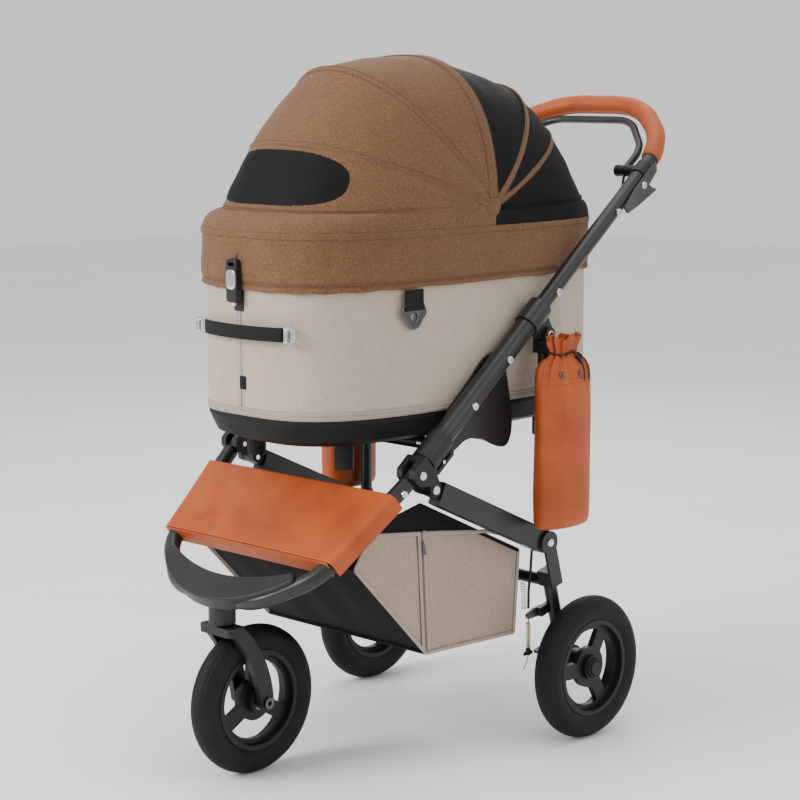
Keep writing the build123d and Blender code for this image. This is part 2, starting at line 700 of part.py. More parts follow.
ARM_X = TUBE_X - LEG_R - 7.0
with BuildPart() as brake_arm:
    with BuildSketch(leg_plane(ARM_X)) as arm_face:
        with BuildLine():
            Polyline(
                (ARM_PIVOT_S - 8, ARM_PIVOT_N + 7), (ARM_PIVOT_S + 8, ARM_PIVOT_N + 7),
                (ARM_PIVOT_S + 8, ARM_PIVOT_N - 8), (ARM_PIVOT_S + 3, ARM_PIVOT_N - 30),
                (ARM_PIVOT_S - 5, ARM_PIVOT_N - 30), (ARM_PIVOT_S - 8, ARM_PIVOT_N - 8), close=True,
            )
        make_face()
        fillet(arm_face.vertices(), 3)
    extrude(amount=5)
    with BuildSketch(leg_plane(ARM_X - 1)):
        with Locations((ARM_PIVOT_S, ARM_PIVOT_N)):
            Circle(PIN_R)
    extrude(amount=7, mode=Mode.SUBTRACT)
save(both_sides(brake_arm.part), "brake_arms")

# Return spring below each brake arm, kept as the spring's outer shape
arm_tip = leg_plane(ARM_X + 2.5).from_local_coords(Vector(ARM_PIVOT_S - 1, ARM_PIVOT_N - 25, 0))
SPRING_R = 4.5
SPRING_LENGTH = 40.0
with BuildPart() as spring:
    with BuildSketch(Plane.XY.offset(arm_tip.Z - 12)):
        with Locations((arm_tip.X, arm_tip.Y)):
            Circle(SPRING_R)
            Circle(SPRING_R - 1.4, mode=Mode.SUBTRACT)
    extrude(amount=-SPRING_LENGTH)
save(both_sides(spring.part), "brake_springs")
CABLE_R = 2.3


def cable(points, bends):
    """A cable that its clips hold all the way, as a tube on straight runs and arcs."""
    with BuildLine() as path:
        FilletPolyline(*points, radius=bends)
    wire = path.wire()
    with BuildPart() as tube:
        with BuildSketch(Plane(origin=wire @ 0, z_dir=wire % 0)):
            Circle(CABLE_R)
        sweep(path=wire)
    return tube.part


lower_cable = cable(
    (
        (ARM_X - 2, LEG_HINGE_Y - 2, LEG_HINGE_Z - 18),
        (ARM_X - 3, LEG_HINGE_Y - 4, LEG_HINGE_Z - 60),
        (ARM_X - 2, LEG_HINGE_Y - 9, LEG_HINGE_Z - 84),
        (arm_tip.X, arm_tip.Y, arm_tip.Z + 12),
    ),
    (60, 50),
)
save(both_sides(lower_cable), "lower_brake_cables")

bar_pivot = frame_point(BAR_T, 0)
with BuildPart() as housing:
    with BuildSketch(Plane.YZ.offset(TUBE_X - HANDLE_R - 40)):
        with Locations((bar_pivot[1], bar_pivot[2])):
            Circle(HOUSING_R)
    extrude(amount=40)
    with BuildSketch(Plane(origin=frame_point(BAR_T - 12, 0, TUBE_X), z_dir=frame_plane().y_dir)):
        Circle(HANDLE_R + 2.6)
    extrude(amount=24)
    with BuildSketch(Plane(origin=frame_point(BAR_T - 40, 0, TUBE_X), z_dir=frame_plane().y_dir)):
        Circle(HANDLE_R)
    extrude(amount=80, mode=Mode.SUBTRACT)
    with BuildSketch(Plane.YZ.offset(BAR_X - BAR_R - 1.5)):
        with Locations((bar_pivot[1], bar_pivot[2])):
            Rectangle(80, 80)
            Circle(PIN_R - RUNNING, mode=Mode.SUBTRACT)
    extrude(amount=2 * BAR_R + 3, mode=Mode.SUBTRACT)
save(both_sides(housing.part), "brake_housings")

bar_points = [
    (BAR_X, BAR_T), (BAR_X, BAR_T + 58), (BAR_X * 0.55, BAR_TOP),
    (-BAR_X * 0.55, BAR_TOP), (-BAR_X, BAR_T + 58), (-BAR_X, BAR_T),
]
with BuildPart() as brake_bar:
    add(arch(bar_points, 75, BAR_R))
    for side in (-1, 1):
        with BuildSketch(side_plane(side * BAR_X - BAR_R)):
            with Locations((BAR_T, 0)):
                Circle(HOUSING_R)
        extrude(amount=2 * BAR_R)
        with BuildSketch(side_plane(side * BAR_X - 2 * BAR_R)):
            with Locations((BAR_T, 0)):
                Circle(PIN_R)
        extrude(amount=4 * BAR_R, mode=Mode.SUBTRACT)
bar_axis = Axis(bar_pivot, (1, 0, 0))
save(brake_bar.part.rotate(bar_axis, BAR_REST), "brake_bar")

upper_cable = cable(
    (
        (TUBE_X - 36, bar_pivot[1] - 3, bar_pivot[2] - HOUSING_R - 0.1),
        (TUBE_X - 34, bar_pivot[1] - 10, bar_pivot[2] - 30),
        (TUBE_X - 27, bar_pivot[1] - 28, bar_pivot[2] - 46),
        (TUBE_X - HANDLE_R - 1, bar_pivot[1] - 52, bar_pivot[2] - 58),
    ),
    (24, 26),
)
save(both_sides(upper_cable), "upper_brake_cables")

# ---------------------------------------------------------------- locks, bolts and rivets

COLLAR_START = SLEEVE_START + 2.5
COLLAR_LENGTH = 52.0
COLLAR_R = 20.5
with BuildPart() as collar:
    with BuildSketch(Plane(origin=frame_point(COLLAR_START, 0, TUBE_X), z_dir=frame_plane().y_dir)):
        Circle(COLLAR_R)
    extrude(amount=COLLAR_LENGTH)
    with BuildSketch(side_plane(TUBE_X - 9)):
        with BuildLine():
            Polyline(
                (COLLAR_START, -15), (COLLAR_START, -27), (COLLAR_START + 5, -33),
                (COLLAR_START + COLLAR_LENGTH - 4, -33), (COLLAR_START + COLLAR_LENGTH, -29),
                (COLLAR_START + COLLAR_LENGTH, -15), close=True,
            )
        make_face()
    extrude(amount=18)
    with BuildSketch(side_plane(TUBE_X - 20)):
        with Locations((COLLAR_START + COLLAR_LENGTH / 2, -24.6)):
            SlotOverall(COLLAR_LENGTH - 14, 4.6)
    extrude(amount=40, mode=Mode.SUBTRACT)
    with BuildSketch(Plane(origin=frame_point(COLLAR_START - 5, 0, TUBE_X), z_dir=frame_plane().y_dir)):
        Circle(SLEEVE_R + GAP)
    extrude(amount=COLLAR_LENGTH + 10, mode=Mode.SUBTRACT)
save(both_sides(collar.part), "lock_collars")

TRIGGER_X = TUBE_X + HANDLE_R + 3.0
TRIGGER_PIVOT = (671.0, -4.0)
with BuildPart() as trigger:
    with BuildSketch(side_plane(TRIGGER_X)) as trigger_face:
        with BuildLine():
            Polyline(
                (612, -2), (612, -14), (640, -22), (694, -33), (686, -22), (683, -13),
                (712, -9), (718, 0), (712, 6), (650, 4), close=True,
            )
        make_face()
        fillet(trigger_face.vertices(), 1.5)
    extrude(amount=4)
    with BuildSketch(side_plane(TRIGGER_X)):
        with Locations(TRIGGER_PIVOT):
            Circle(PIN_R + RUNNING)
    extrude(amount=4, mode=Mode.SUBTRACT)
save(both_sides(trigger.part), "fold_triggers")

BOLT_R = 6.0
BOLT_HEAD = 4.5


def hex_bolt(t, h, x, radius=BOLT_R):
    """A socket-head bolt seen from outside, its head standing on the surface at x."""
    with BuildPart() as bolt:
        with BuildSketch(side_plane(x)):
            with Locations((t, h)):
                Circle(radius)
        extrude(amount=BOLT_HEAD)
        with BuildSketch(side_plane(x + BOLT_HEAD)):
            with Locations((t, h)):
                RegularPolygon(radius * 0.5, 6)
        extrude(amount=-3, mode=Mode.SUBTRACT)
        fillet(bolt.faces().sort_by(Axis.X)[-1].outer_wire().edges(), 1)
    return bolt.part


bolts = [hex_bolt(t, 0, TUBE_X + SLEEVE_R + 0.1) for t in BOLT_T]
bolts += [hex_bolt(t, 0, TUBE_X + HANDLE_R + 0.1) for t in (407, 599)]
save(Compound(children=[s for b in bolts for s in both_sides(b).solids()]), "frame_bolts")


def rivet(t, h, x_in, x_out, head=7.0, radius=PIN_R):
    """A round-headed pin across the stroller from x_in to x_out."""
    with BuildPart() as pin:
        with BuildSketch(side_plane(x_in)):
            with Locations((t, h)):
                Circle(radius)
        extrude(amount=x_out - x_in)
        with BuildSketch(side_plane(x_out)):
            with Locations((t, h)):
                Circle(head)
        extrude(amount=3)
        fillet(pin.faces().sort_by(Axis.X)[-1].edges(), 2)
    return pin.part


knuckle_out = TUBE_X + KNUCKLE_WIDTH / 2
knuckle_in = TUBE_X - KNUCKLE_WIDTH / 2
leg_hinge_frame = to_frame(LEG_HINGE_Y, LEG_HINGE_Z)
pins = [
    rivet(0, 0, knuckle_in, knuckle_out),
    rivet(RAIL_PIN_T, RAIL_PIN_H, knuckle_in, knuckle_out),
    rivet(STRUT_TOP_T, STRUT_TOP_H, TUBE_X - fork_out / 2, TUBE_X + fork_out / 2),
    rivet(*leg_hinge_frame, TUBE_X - RAIL_WIDTH / 2, LEG_PLATE_X + LEG_PLATE + 0.1, radius=PIN_R),
    rivet(*TRIGGER_PIVOT, TUBE_X + HANDLE_R + 0.02, TRIGGER_X + 4.2, head=6),
]
save(Compound(children=[s for p in pins for s in both_sides(p).solids()]), "hinge_pins")

# ---------------------------------------------------------------- bags and basket

BAG_X = 246.0
BAG_Y = AXLE_Y - 60.0
BAG_HALF_X = 28.0
BAG_HALF_Y = 60.0
BAG_LOW = 362.0
BAG_SHOULDER = 628.0
BAG_TOP = 656.0
BAG_WALL = 3.0
with BuildPart() as bag:
    for z, a, b in (
        (BAG_LOW, BAG_HALF_X - 3, BAG_HALF_Y - 4),
        (BAG_LOW + 14, BAG_HALF_X, BAG_HALF_Y),
        (BAG_SHOULDER, BAG_HALF_X, BAG_HALF_Y - 4),
        (BAG_TOP, 9, 34),
    ):
        with BuildSketch(Plane.XY.offset(z)):
            with Locations((BAG_X, BAG_Y)):
                Ellipse(a, b)
    loft(ruled=True)
    for z, a, b in (
        (BAG_LOW + BAG_WALL, BAG_HALF_X - BAG_WALL - 3, BAG_HALF_Y - BAG_WALL - 4),
        (BAG_SHOULDER - BAG_WALL, BAG_HALF_X - BAG_WALL, BAG_HALF_Y - BAG_WALL - 4),
        (BAG_TOP + 1, 5, 29),
    ):
        with BuildSketch(Plane.XY.offset(z)):
            with Locations((BAG_X, BAG_Y)):
                Ellipse(a, b)
    loft(ruled=True, mode=Mode.SUBTRACT)
save(both_sides(bag.part), "bottle_bags")

with BuildPart() as cord_lock:
    with BuildSketch(Plane.YZ.offset(BAG_X + 12)):
        with Locations((BAG_Y + 22, BAG_SHOULDER + 6)):
            Circle(8)
            Circle(2, mode=Mode.SUBTRACT)
    extrude(amount=14)
    fillet(cord_lock.edges().filter_by(GeomType.CIRCLE).group_by(SortBy.RADIUS)[-1], 2.5)
lock_piece = cord_lock.part - bag.part
save(both_sides(lock_piece.solids().sort_by(SortBy.VOLUME)[-1]), "bag_cord_locks")

BASKET_X = 182.0
basket_side = [
    (AXLE_Y - 92, 316.0), (AXLE_Y - 322, 424.0), (AXLE_Y - 420, 402.0), (AXLE_Y - 462, 344.0),
    (AXLE_Y - 308, 186.0), (AXLE_Y - 102, 181.0),
]
BASKET_WALL = 2.5
with BuildPart() as basket:
    with BuildSketch(Plane.YZ.offset(-BASKET_X)) as basket_face:
        with BuildLine():
            Polyline(*basket_side, close=True)
        make_face()
    extrude(amount=2 * BASKET_X)
    with BuildSketch(Plane.YZ.offset(BASKET_WALL - BASKET_X)):
        with BuildLine():
            Polyline(
                (AXLE_Y - 92 - BASKET_WALL, 360), (AXLE_Y - 322, 470), (AXLE_Y - 418, 430),
                (AXLE_Y - 416, 400), (AXLE_Y - 458, 344.0),
                (AXLE_Y - 307, 186.0 + BASKET_WALL), (AXLE_Y - 102 - BASKET_WALL, 181.0 + BASKET_WALL), close=True,
            )
        make_face()
    extrude(amount=2 * (BASKET_X - BASKET_WALL), mode=Mode.SUBTRACT)
save(basket.part, "storage_basket")

# ---------------------------------------------------------------- cot

with BuildPart() as tray:
    add(outline(COT_HALF_WIDTH - TRAY_BEND, COT_HALF_LENGTH - TRAY_BEND, TRAY_LOW))
    add(outline(COT_HALF_WIDTH - 0.3 * TRAY_BEND, COT_HALF_LENGTH - 0.3 * TRAY_BEND, TRAY_LOW + 0.28 * TRAY_BEND))
    add(outline(COT_HALF_WIDTH, COT_HALF_LENGTH, TRAY_LOW + TRAY_BEND))
    loft(ruled=True)
    add(outline(COT_HALF_WIDTH, COT_HALF_LENGTH, TRAY_LOW + TRAY_BEND))
    extrude(amount=TRAY_TOP - TRAY_LOW - TRAY_BEND)
    add(outline(COT_HALF_WIDTH - TRAY_BEND - 2, COT_HALF_LENGTH - TRAY_BEND - 2, TRAY_LOW + 4))
    extrude(amount=TRAY_TOP - TRAY_LOW, mode=Mode.SUBTRACT)
    with BuildSketch(Plane.XY.offset(TRAY_LOW + 2)):
        with Locations((0, COT_Y)):
            with GridLocations(2 * FOOT_X, 2 * FOOT_Y, 2, 2):
                Circle(FOOT_R)
    extrude(amount=FOOT_LOW - TRAY_LOW - 2)
save(tray.part, "cot_tray")

with BuildPart() as wall:
    add(outline(COT_HALF_WIDTH, COT_HALF_LENGTH, TRAY_TOP + 0.1))
    extrude(amount=COT_TOP - TRAY_TOP - 0.1)
    add(outline(COT_HALF_WIDTH - COT_WALL, COT_HALF_LENGTH - COT_WALL, TRAY_TOP - 1))
    extrude(amount=COT_TOP - TRAY_TOP + 2, mode=Mode.SUBTRACT)
save(wall.part, "cot_wall")

skirt_x = COT_HALF_WIDTH + SKIRT_OFFSET
skirt_y = COT_HALF_LENGTH + SKIRT_OFFSET
shoulder_y = (LIP[1] + REAR_LIP[1]) / 2 + 1
shoulder_centre = PIVOT_Y + (REAR_LIP[1] - LIP[1]) / 2
with BuildPart() as skirt:
    add(outline(skirt_x, skirt_y, SKIRT_LOW))
    extrude(amount=SKIRT_TOP - SKIRT_LOW)
    add(outline(skirt_x, skirt_y, SKIRT_TOP))
    add(outline(HOOD_HALF_WIDTH, shoulder_y, PIVOT_Z - 4, shoulder_centre, 3.0))
    loft()
    add(outline(skirt_x - FABRIC, skirt_y - FABRIC, SKIRT_LOW))
    extrude(amount=SKIRT_TOP - SKIRT_LOW, mode=Mode.SUBTRACT)
    add(outline(skirt_x - FABRIC, skirt_y - FABRIC, SKIRT_TOP))
    add(outline(HOOD_HALF_WIDTH - FABRIC, shoulder_y - FABRIC, PIVOT_Z - 4, shoulder_centre, 3.0))
    loft(mode=Mode.SUBTRACT)
save(skirt.part, "hood_skirt")

cot_front = COT_Y - COT_HALF_LENGTH
STRAP_X = 88.0
STRAP_Z = 696.0
with BuildPart() as carry_strap:
    with BuildSketch(Plane.XY.offset(STRAP_Z - 11)):
        with BuildLine():
            ThreePointArc((-STRAP_X, cot_front + 3), (0, cot_front - 13), (STRAP_X, cot_front + 3))
            Line((STRAP_X, cot_front + 3), (STRAP_X, cot_front - 1))
            ThreePointArc((STRAP_X, cot_front - 1), (0, cot_front - 17), (-STRAP_X, cot_front - 1))
            Line((-STRAP_X, cot_front - 1), (-STRAP_X, cot_front + 3))
        make_face()
    extrude(amount=22)
save(carry_strap.part, "carry_strap")
with BuildPart() as clasp:
    with BuildSketch(Plane.XZ.offset(-cot_front - 4)):
        with Locations((STRAP_X + 12, STRAP_Z)):
            RectangleRounded(22, 26, 5)
            RectangleRounded(11, 18, 3, mode=Mode.SUBTRACT)
    extrude(amount=5)
save(both_sides(clasp.part - wall.part), "strap_clasps")

BUCKLE_X = -8.0
skirt_front = COT_Y - skirt_y
with BuildPart() as buckle:
    with BuildSketch(Plane.XZ.offset(-skirt_front + 1)) as buckle_face:
        with Locations((BUCKLE_X, 772)):
            RectangleRounded(24, 66, 6)
        with Locations((BUCKLE_X, 797)):
            RectangleRounded(14, 5, 2, mode=Mode.SUBTRACT)
    extrude(amount=10)
    fillet(buckle.faces().sort_by(Axis.Y)[0].edges(), 2)
    with BuildSketch(Plane.XZ.offset(-cot_front + 0.2)):
        with Locations((BUCKLE_X, 741)):
            RectangleRounded(20, 32, 3)
    extrude(amount=3)
    with BuildSketch(Plane.XZ.offset(-cot_front + 0.2)):
        with Locations((BUCKLE_X, 750)):
            Rectangle(18, 14)
    extrude(amount=skirt_y - COT_HALF_LENGTH + 4)
save(buckle.part, "front_buckle")

# Side rings: a webbing tab on each side of the cot with a D-ring hanging from its loop
RING_Y = AXLE_Y - 335.0
RING_BAR_Z = 730.0
RING_BAR_X = COT_HALF_WIDTH + 2.2
RING_WIRE = 2.0
RING_HALF = 17.0
with BuildPart() as tab:
    with BuildSketch(Plane.YZ.offset(COT_HALF_WIDTH - 3)):
        with Locations((RING_Y, RING_BAR_Z + 14)):
            Rectangle(24, 28)
    extrude(amount=2.4)
    with BuildSketch(Plane.XZ.offset(-RING_Y - 12)):
        with Locations((RING_BAR_X, RING_BAR_Z)):
            Circle(4.3)
    extrude(amount=24)
    with BuildSketch(Plane.XZ.offset(-RING_Y - 20)):
        with Locations((RING_BAR_X, RING_BAR_Z)):
            Circle(RING_WIRE + RUNNING)
    extrude(amount=40, mode=Mode.SUBTRACT)
save(both_sides(tab.part - wall.part), "ring_tabs")

ring_corners = [
    (RING_Y + RING_HALF, RING_BAR_Z), (RING_Y + RING_HALF, RING_BAR_Z - 7), (RING_Y, RING_BAR_Z - 24),
    (RING_Y - RING_HALF, RING_BAR_Z - 7), (RING_Y - RING_HALF, RING_BAR_Z),
]
with BuildLine(Plane.YZ.offset(RING_BAR_X)) as ring_path:
    FilletPolyline(*ring_corners, radius=3, close=True)
with BuildPart() as d_ring:
    with BuildSketch(Plane(origin=ring_path.wire() @ 0, z_dir=ring_path.wire() % 0)):
        Circle(RING_WIRE)
    sweep(path=ring_path.wire())
save(mirror(d_ring.part, about=Plane.YZ), "d_ring_left")
save(d_ring.part, "d_ring_right")

# ---------------------------------------------------------------- hood

def bow_plane(angle):
    """Plane through the pivot axis; its second axis points out along the bow."""
    a = radians(angle)
    return Plane(origin=(0, PIVOT_Y, PIVOT_Z), x_dir=(1, 0, 0), z_dir=(0, -sin(a), -cos(a)))


def half_outline(half_width, reach, corner, start, steps=14):
    """Points of half a superellipse, from one side over the top to the other."""
    first = pi / 2 * (start / reach) ** (corner / 2) * 0.64
    points = []
    for i in range(steps + 1):
        angle = first + (pi - 2 * first) * i / steps
        c, s = cos(angle), sin(angle)
        x = half_width * abs(c) ** (2 / corner) * (1 if c >= 0 else -1)
        points.append((x, reach * s ** (2 / corner)))
    return points


BOW_START = 8.0
FABRIC_START = 16.0


def make_bow(bow, nest):
    """A sprung bow inside the fabric with an eye at each end on the pivot pin."""
    angle, reach, corner = bow
    half_width = HOOD_HALF_WIDTH - 5.5 - BOW_STEP * nest
    with BuildLine(bow_plane(angle)) as path:
        Spline(*half_outline(half_width, reach - 6, corner, BOW_START))
    wire = path.wire()
    with BuildPart() as part:
        with BuildSketch(Plane(origin=wire @ 0, z_dir=wire % 0)):
            Circle(BOW_R)
        sweep(path=wire)
        for side in (-1, 1):
            with BuildSketch(Plane.YZ.offset(side * half_width - BOW_R)):
                with Locations((PIVOT_Y, PIVOT_Z)):
                    Circle(BOW_START + 1.5)
                    Circle(3 + RUNNING, mode=Mode.SUBTRACT)
            extrude(amount=2 * BOW_R)
    return part.part


def make_panel(bows):
    """Fabric between bows, as a thin shell through their outlines."""
    with BuildPart() as part:
        for inset, mode in ((0.0, Mode.ADD), (FABRIC, Mode.SUBTRACT)):
            for angle, reach, corner in bows:
                with BuildSketch(bow_plane(angle)):
                    with BuildLine():
                        points = half_outline(HOOD_HALF_WIDTH - inset, reach - inset, corner, FABRIC_START)
                        Spline(*points)
                        Line(points[-1], points[0])
                    make_face()
            loft(ruled=True, mode=mode)
    return part.part


save(make_bow(CENTRE_BOW, 0), "centre_bow")
save(make_bow(FRONT_BOW, 1), "front_bow")
save(make_bow(REAR_BOW, 2), "rear_bow")
save(make_bow(LIP, 3), "front_lip_bow")
save(make_bow(REAR_LIP, 4), "rear_lip_bow")
save(make_panel((LIP, NOSE, FRONT_BOW)), "front_panel")
save(make_panel((FRONT_BOW, CENTRE_BOW)), "middle_panel")
save(make_panel((CENTRE_BOW, REAR_BOW, TAIL, REAR_LIP)), "rear_mesh_panel")
with BuildPart() as pivot_pin:
    with BuildSketch(Plane.YZ.offset(HOOD_HALF_WIDTH - 34)):
        with Locations((PIVOT_Y, PIVOT_Z)):
            Circle(3)
    extrude(amount=35)
    with BuildSketch(Plane.YZ.offset(HOOD_HALF_WIDTH + 1)):
        with Locations((PIVOT_Y, PIVOT_Z)):
            Circle(9)
    extrude(amount=2.5)
save(both_sides(pivot_pin.part), "hood_pivots")
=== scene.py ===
import json
import math
import bpy
import numpy as np
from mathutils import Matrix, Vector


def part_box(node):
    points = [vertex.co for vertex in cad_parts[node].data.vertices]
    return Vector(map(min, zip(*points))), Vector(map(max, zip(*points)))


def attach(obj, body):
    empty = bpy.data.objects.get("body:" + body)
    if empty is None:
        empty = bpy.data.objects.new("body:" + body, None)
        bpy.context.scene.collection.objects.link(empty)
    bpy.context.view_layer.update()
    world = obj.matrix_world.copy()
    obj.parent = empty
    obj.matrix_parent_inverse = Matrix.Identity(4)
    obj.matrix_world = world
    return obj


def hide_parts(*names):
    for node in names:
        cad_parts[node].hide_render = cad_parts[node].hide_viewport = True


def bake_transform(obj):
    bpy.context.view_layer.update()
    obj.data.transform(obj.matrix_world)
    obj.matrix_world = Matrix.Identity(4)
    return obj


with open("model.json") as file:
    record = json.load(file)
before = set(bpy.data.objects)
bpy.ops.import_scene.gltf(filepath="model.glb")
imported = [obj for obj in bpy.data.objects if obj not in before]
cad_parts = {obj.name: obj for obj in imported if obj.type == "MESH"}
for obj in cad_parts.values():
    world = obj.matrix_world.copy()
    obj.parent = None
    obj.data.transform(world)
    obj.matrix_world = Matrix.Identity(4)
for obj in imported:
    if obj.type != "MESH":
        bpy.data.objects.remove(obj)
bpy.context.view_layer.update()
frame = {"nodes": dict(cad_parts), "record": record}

MM = 0.001
SIDES = ((-1, "left"), (1, "right"))

# Reference positions, in millimetres, from the record's joints and the fixed nodes
JOINTS = {j["name"]: j for j in frame["record"]["behaviour"]["joints"]}


def joint_mm(name):
    return np.array(JOINTS[name]["pos_m"]) * 1000


def node_mm(name):
    low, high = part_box(name)
    return np.array(low) * 1000, np.array(high) * 1000


PIVOT = joint_mm("hood_front_fold")
KNUCKLE = joint_mm("frame_fold")
AXLE = joint_mm("rear_wheel_right_spin")
TILT = math.radians(39.1)
ALONG = np.array([0, math.cos(TILT), math.sin(TILT)])
SQUARE = np.array([0, -math.sin(TILT), math.cos(TILT)])


def on_frame(t, h, x):
    """Point at t along the main tubes, h square to them and x across."""
    return np.array([x, KNUCKLE[1], KNUCKLE[2]]) + ALONG * t + SQUARE * h


# ---------------------------------------------------------------- materials

def nodes_of(name):
    m = bpy.data.materials.new(name)
    m.use_nodes = True
    tree = m.node_tree
    shader = tree.nodes["Principled BSDF"]
    coords = tree.nodes.new("ShaderNodeTexCoord")
    return m, tree, shader, coords


def noise_at(tree, coords, scale, stretch, detail=4.0, rough=0.6, distortion=0.0):
    place = tree.nodes.new("ShaderNodeMapping")
    place.inputs["Scale"].default_value = stretch
    tree.links.new(coords.outputs["Object"], place.inputs["Vector"])
    noise = tree.nodes.new("ShaderNodeTexNoise")
    noise.inputs["Scale"].default_value = scale
    noise.inputs["Detail"].default_value = detail
    noise.inputs["Roughness"].default_value = rough
    noise.inputs["Distortion"].default_value = distortion
    tree.links.new(place.outputs["Vector"], noise.inputs["Vector"])
    return noise.outputs["Fac"]


def ramp_of(tree, factor, stops):
    ramp = tree.nodes.new("ShaderNodeValToRGB")
    ramp.color_ramp.elements[0].position = stops[0][0]
    ramp.color_ramp.elements[0].color = (*stops[0][1], 1)
    ramp.color_ramp.elements[1].position = stops[-1][0]
    ramp.color_ramp.elements[1].color = (*stops[-1][1], 1)
    for place, colour in stops[1:-1]:
        e = ramp.color_ramp.elements.new(place)
        e.color = (*colour, 1)
    tree.links.new(factor, ramp.inputs["Fac"])
    return ramp.outputs["Color"]


def mixed(tree, factor, a, b, kind="MIX", amount=None):
    mix = tree.nodes.new("ShaderNodeMix")
    mix.data_type = "RGBA"
    mix.blend_type = kind
    if factor is None:
        mix.inputs["Factor"].default_value = amount
    else:
        tree.links.new(factor, mix.inputs["Factor"])
    tree.links.new(a, mix.inputs[6])
    tree.links.new(b, mix.inputs[7])
    return mix.outputs[2]


def bumped(tree, shader, height, strength, distance, before=None):
    bump = tree.nodes.new("ShaderNodeBump")
    bump.inputs["Strength"].default_value = strength
    bump.inputs["Distance"].default_value = distance
    tree.links.new(height, bump.inputs["Height"])
    if before is not None:
        tree.links.new(before, bump.inputs["Normal"])
    tree.links.new(bump.outputs["Normal"], shader.inputs["Normal"])
    return bump.outputs["Normal"]


def hard(name, dark, light, rough, metallic=0.0, grain=900, strength=0.15, shine=0.3):
    """Coated, moulded or plated surface with a slight uneven tone and a fine grain."""
    m, tree, shader, coords = nodes_of(name)
    broad = noise_at(tree, coords, 14, (1, 1, 1), 3)
    tone = ramp_of(tree, broad, ((0.35, dark), (0.65, light)))
    tree.links.new(tone, shader.inputs["Base Color"])
    shader.inputs["Metallic"].default_value = metallic
    shader.inputs["Specular IOR Level"].default_value = shine
    patches = noise_at(tree, coords, 40, (1, 1, 1), 5)
    spread = tree.nodes.new("ShaderNodeMapRange")
    spread.inputs["To Min"].default_value = rough * 0.85
    spread.inputs["To Max"].default_value = rough * 1.15
    tree.links.new(patches, spread.inputs["Value"])
    tree.links.new(spread.outputs["Result"], shader.inputs["Roughness"])
    fine = noise_at(tree, coords, grain, (1, 1, 1), 2)
    bumped(tree, shader, fine, strength, 0.0002)
    return m


def cloth(name, stops, rough=0.9, thread=520, slub=0.5, sheen=0.25, broad_mix=0.35, depth=0.0004):
    """Woven cloth: heathered yarn tones, crossing slubs and a thread relief."""
    m, tree, shader, coords = nodes_of(name)
    yarn = noise_at(tree, coords, thread, (1, 1, 1), 3, 0.7)
    heather = ramp_of(tree, yarn, stops)
    lying = noise_at(tree, coords, 60, (1, 1, 14), 3, 0.6)
    standing = noise_at(tree, coords, 60, (14, 14, 1), 3, 0.6)
    grey = ((0.3, (0.72, 0.72, 0.72)), (0.7, (1.12, 1.12, 1.12)))
    with_lying = mixed(tree, None, heather, ramp_of(tree, lying, grey), "MULTIPLY", slub)
    with_both = mixed(tree, None, with_lying, ramp_of(tree, standing, grey), "MULTIPLY", slub)
    patches = noise_at(tree, coords, 9, (1, 1, 1), 2)
    soft = ((0.3, (0.86, 0.86, 0.86)), (0.7, (1.06, 1.06, 1.06)))
    final = mixed(tree, None, with_both, ramp_of(tree, patches, soft), "MULTIPLY", broad_mix)
    tree.links.new(final, shader.inputs["Base Color"])
    shader.inputs["Roughness"].default_value = rough
    shader.inputs["Sheen Weight"].default_value = sheen
    shader.inputs["Sheen Roughness"].default_value = 0.5
    shader.inputs["Specular IOR Level"].default_value = 0.2
    first = bumped(tree, shader, yarn, 0.55, depth)
    crossed = bumped(tree, shader, lying, 0.25, depth, first)
    bumped(tree, shader, standing, 0.25, depth, crossed)
    return m


def two(dark, light):
    """Ramp stops for yarn of two tones."""
    return (0.3, dark), (0.7, light)


def leather_like(name, dark, mid, light, rough=0.5, pores=420, depth=0.0005):
    """Fine-grained leather: cells between pores, broad creases and a waxy sheen."""
    m, tree, shader, coords = nodes_of(name)
    broad = noise_at(tree, coords, 11, (1, 1, 1), 4, 0.5, 0.4)
    tone = ramp_of(tree, broad, ((0.3, dark), (0.52, mid), (0.75, light)))
    tree.links.new(tone, shader.inputs["Base Color"])
    shader.inputs["Roughness"].default_value = rough
    shader.inputs["Specular IOR Level"].default_value = 0.35
    cells = tree.nodes.new("ShaderNodeTexVoronoi")
    cells.inputs["Scale"].default_value = pores
    tree.links.new(coords.outputs["Object"], cells.inputs["Vector"])
    first = bumped(tree, shader, cells.outputs["Distance"], 0.35, depth)
    creases = noise_at(tree, coords, 55, (1, 1, 1), 5, 0.6, 0.6)
    bumped(tree, shader, creases, 0.2, depth * 2.5, first)
    return m


def net(name, thread_colour, hole_shade_colour, pitch, rough=0.65):
    """Knitted spacer mesh: a diagonal lattice of holes between round threads, the holes painted near black
    as painted shade seen through them.
    """
    m, tree, shader, coords = nodes_of(name)
    uv = tree.nodes.new("ShaderNodeAttribute")
    uv.attribute_name = "flat_mm"
    place = tree.nodes.new("ShaderNodeMapping")
    place.inputs["Rotation"].default_value = (0, 0, math.radians(45))
    tree.links.new(uv.outputs["Vector"], place.inputs["Vector"])
    cells = tree.nodes.new("ShaderNodeTexVoronoi")
    cells.voronoi_dimensions = "2D"
    cells.inputs["Scale"].default_value = 1 / pitch
    cells.inputs["Randomness"].default_value = 0.12
    tree.links.new(place.outputs["Vector"], cells.inputs["Vector"])
    # the holes take painted shade: a near-black colour standing for the dark inside seen through the mesh
    tone = ramp_of(tree, cells.outputs["Distance"], ((0.26, hole_shade_colour), (0.42, thread_colour)))
    tree.links.new(tone, shader.inputs["Base Color"])
    shader.inputs["Roughness"].default_value = rough
    shader.inputs["Specular IOR Level"].default_value = 0.12
    bumped(tree, shader, cells.outputs["Distance"], 0.8, 0.0008)
    return m


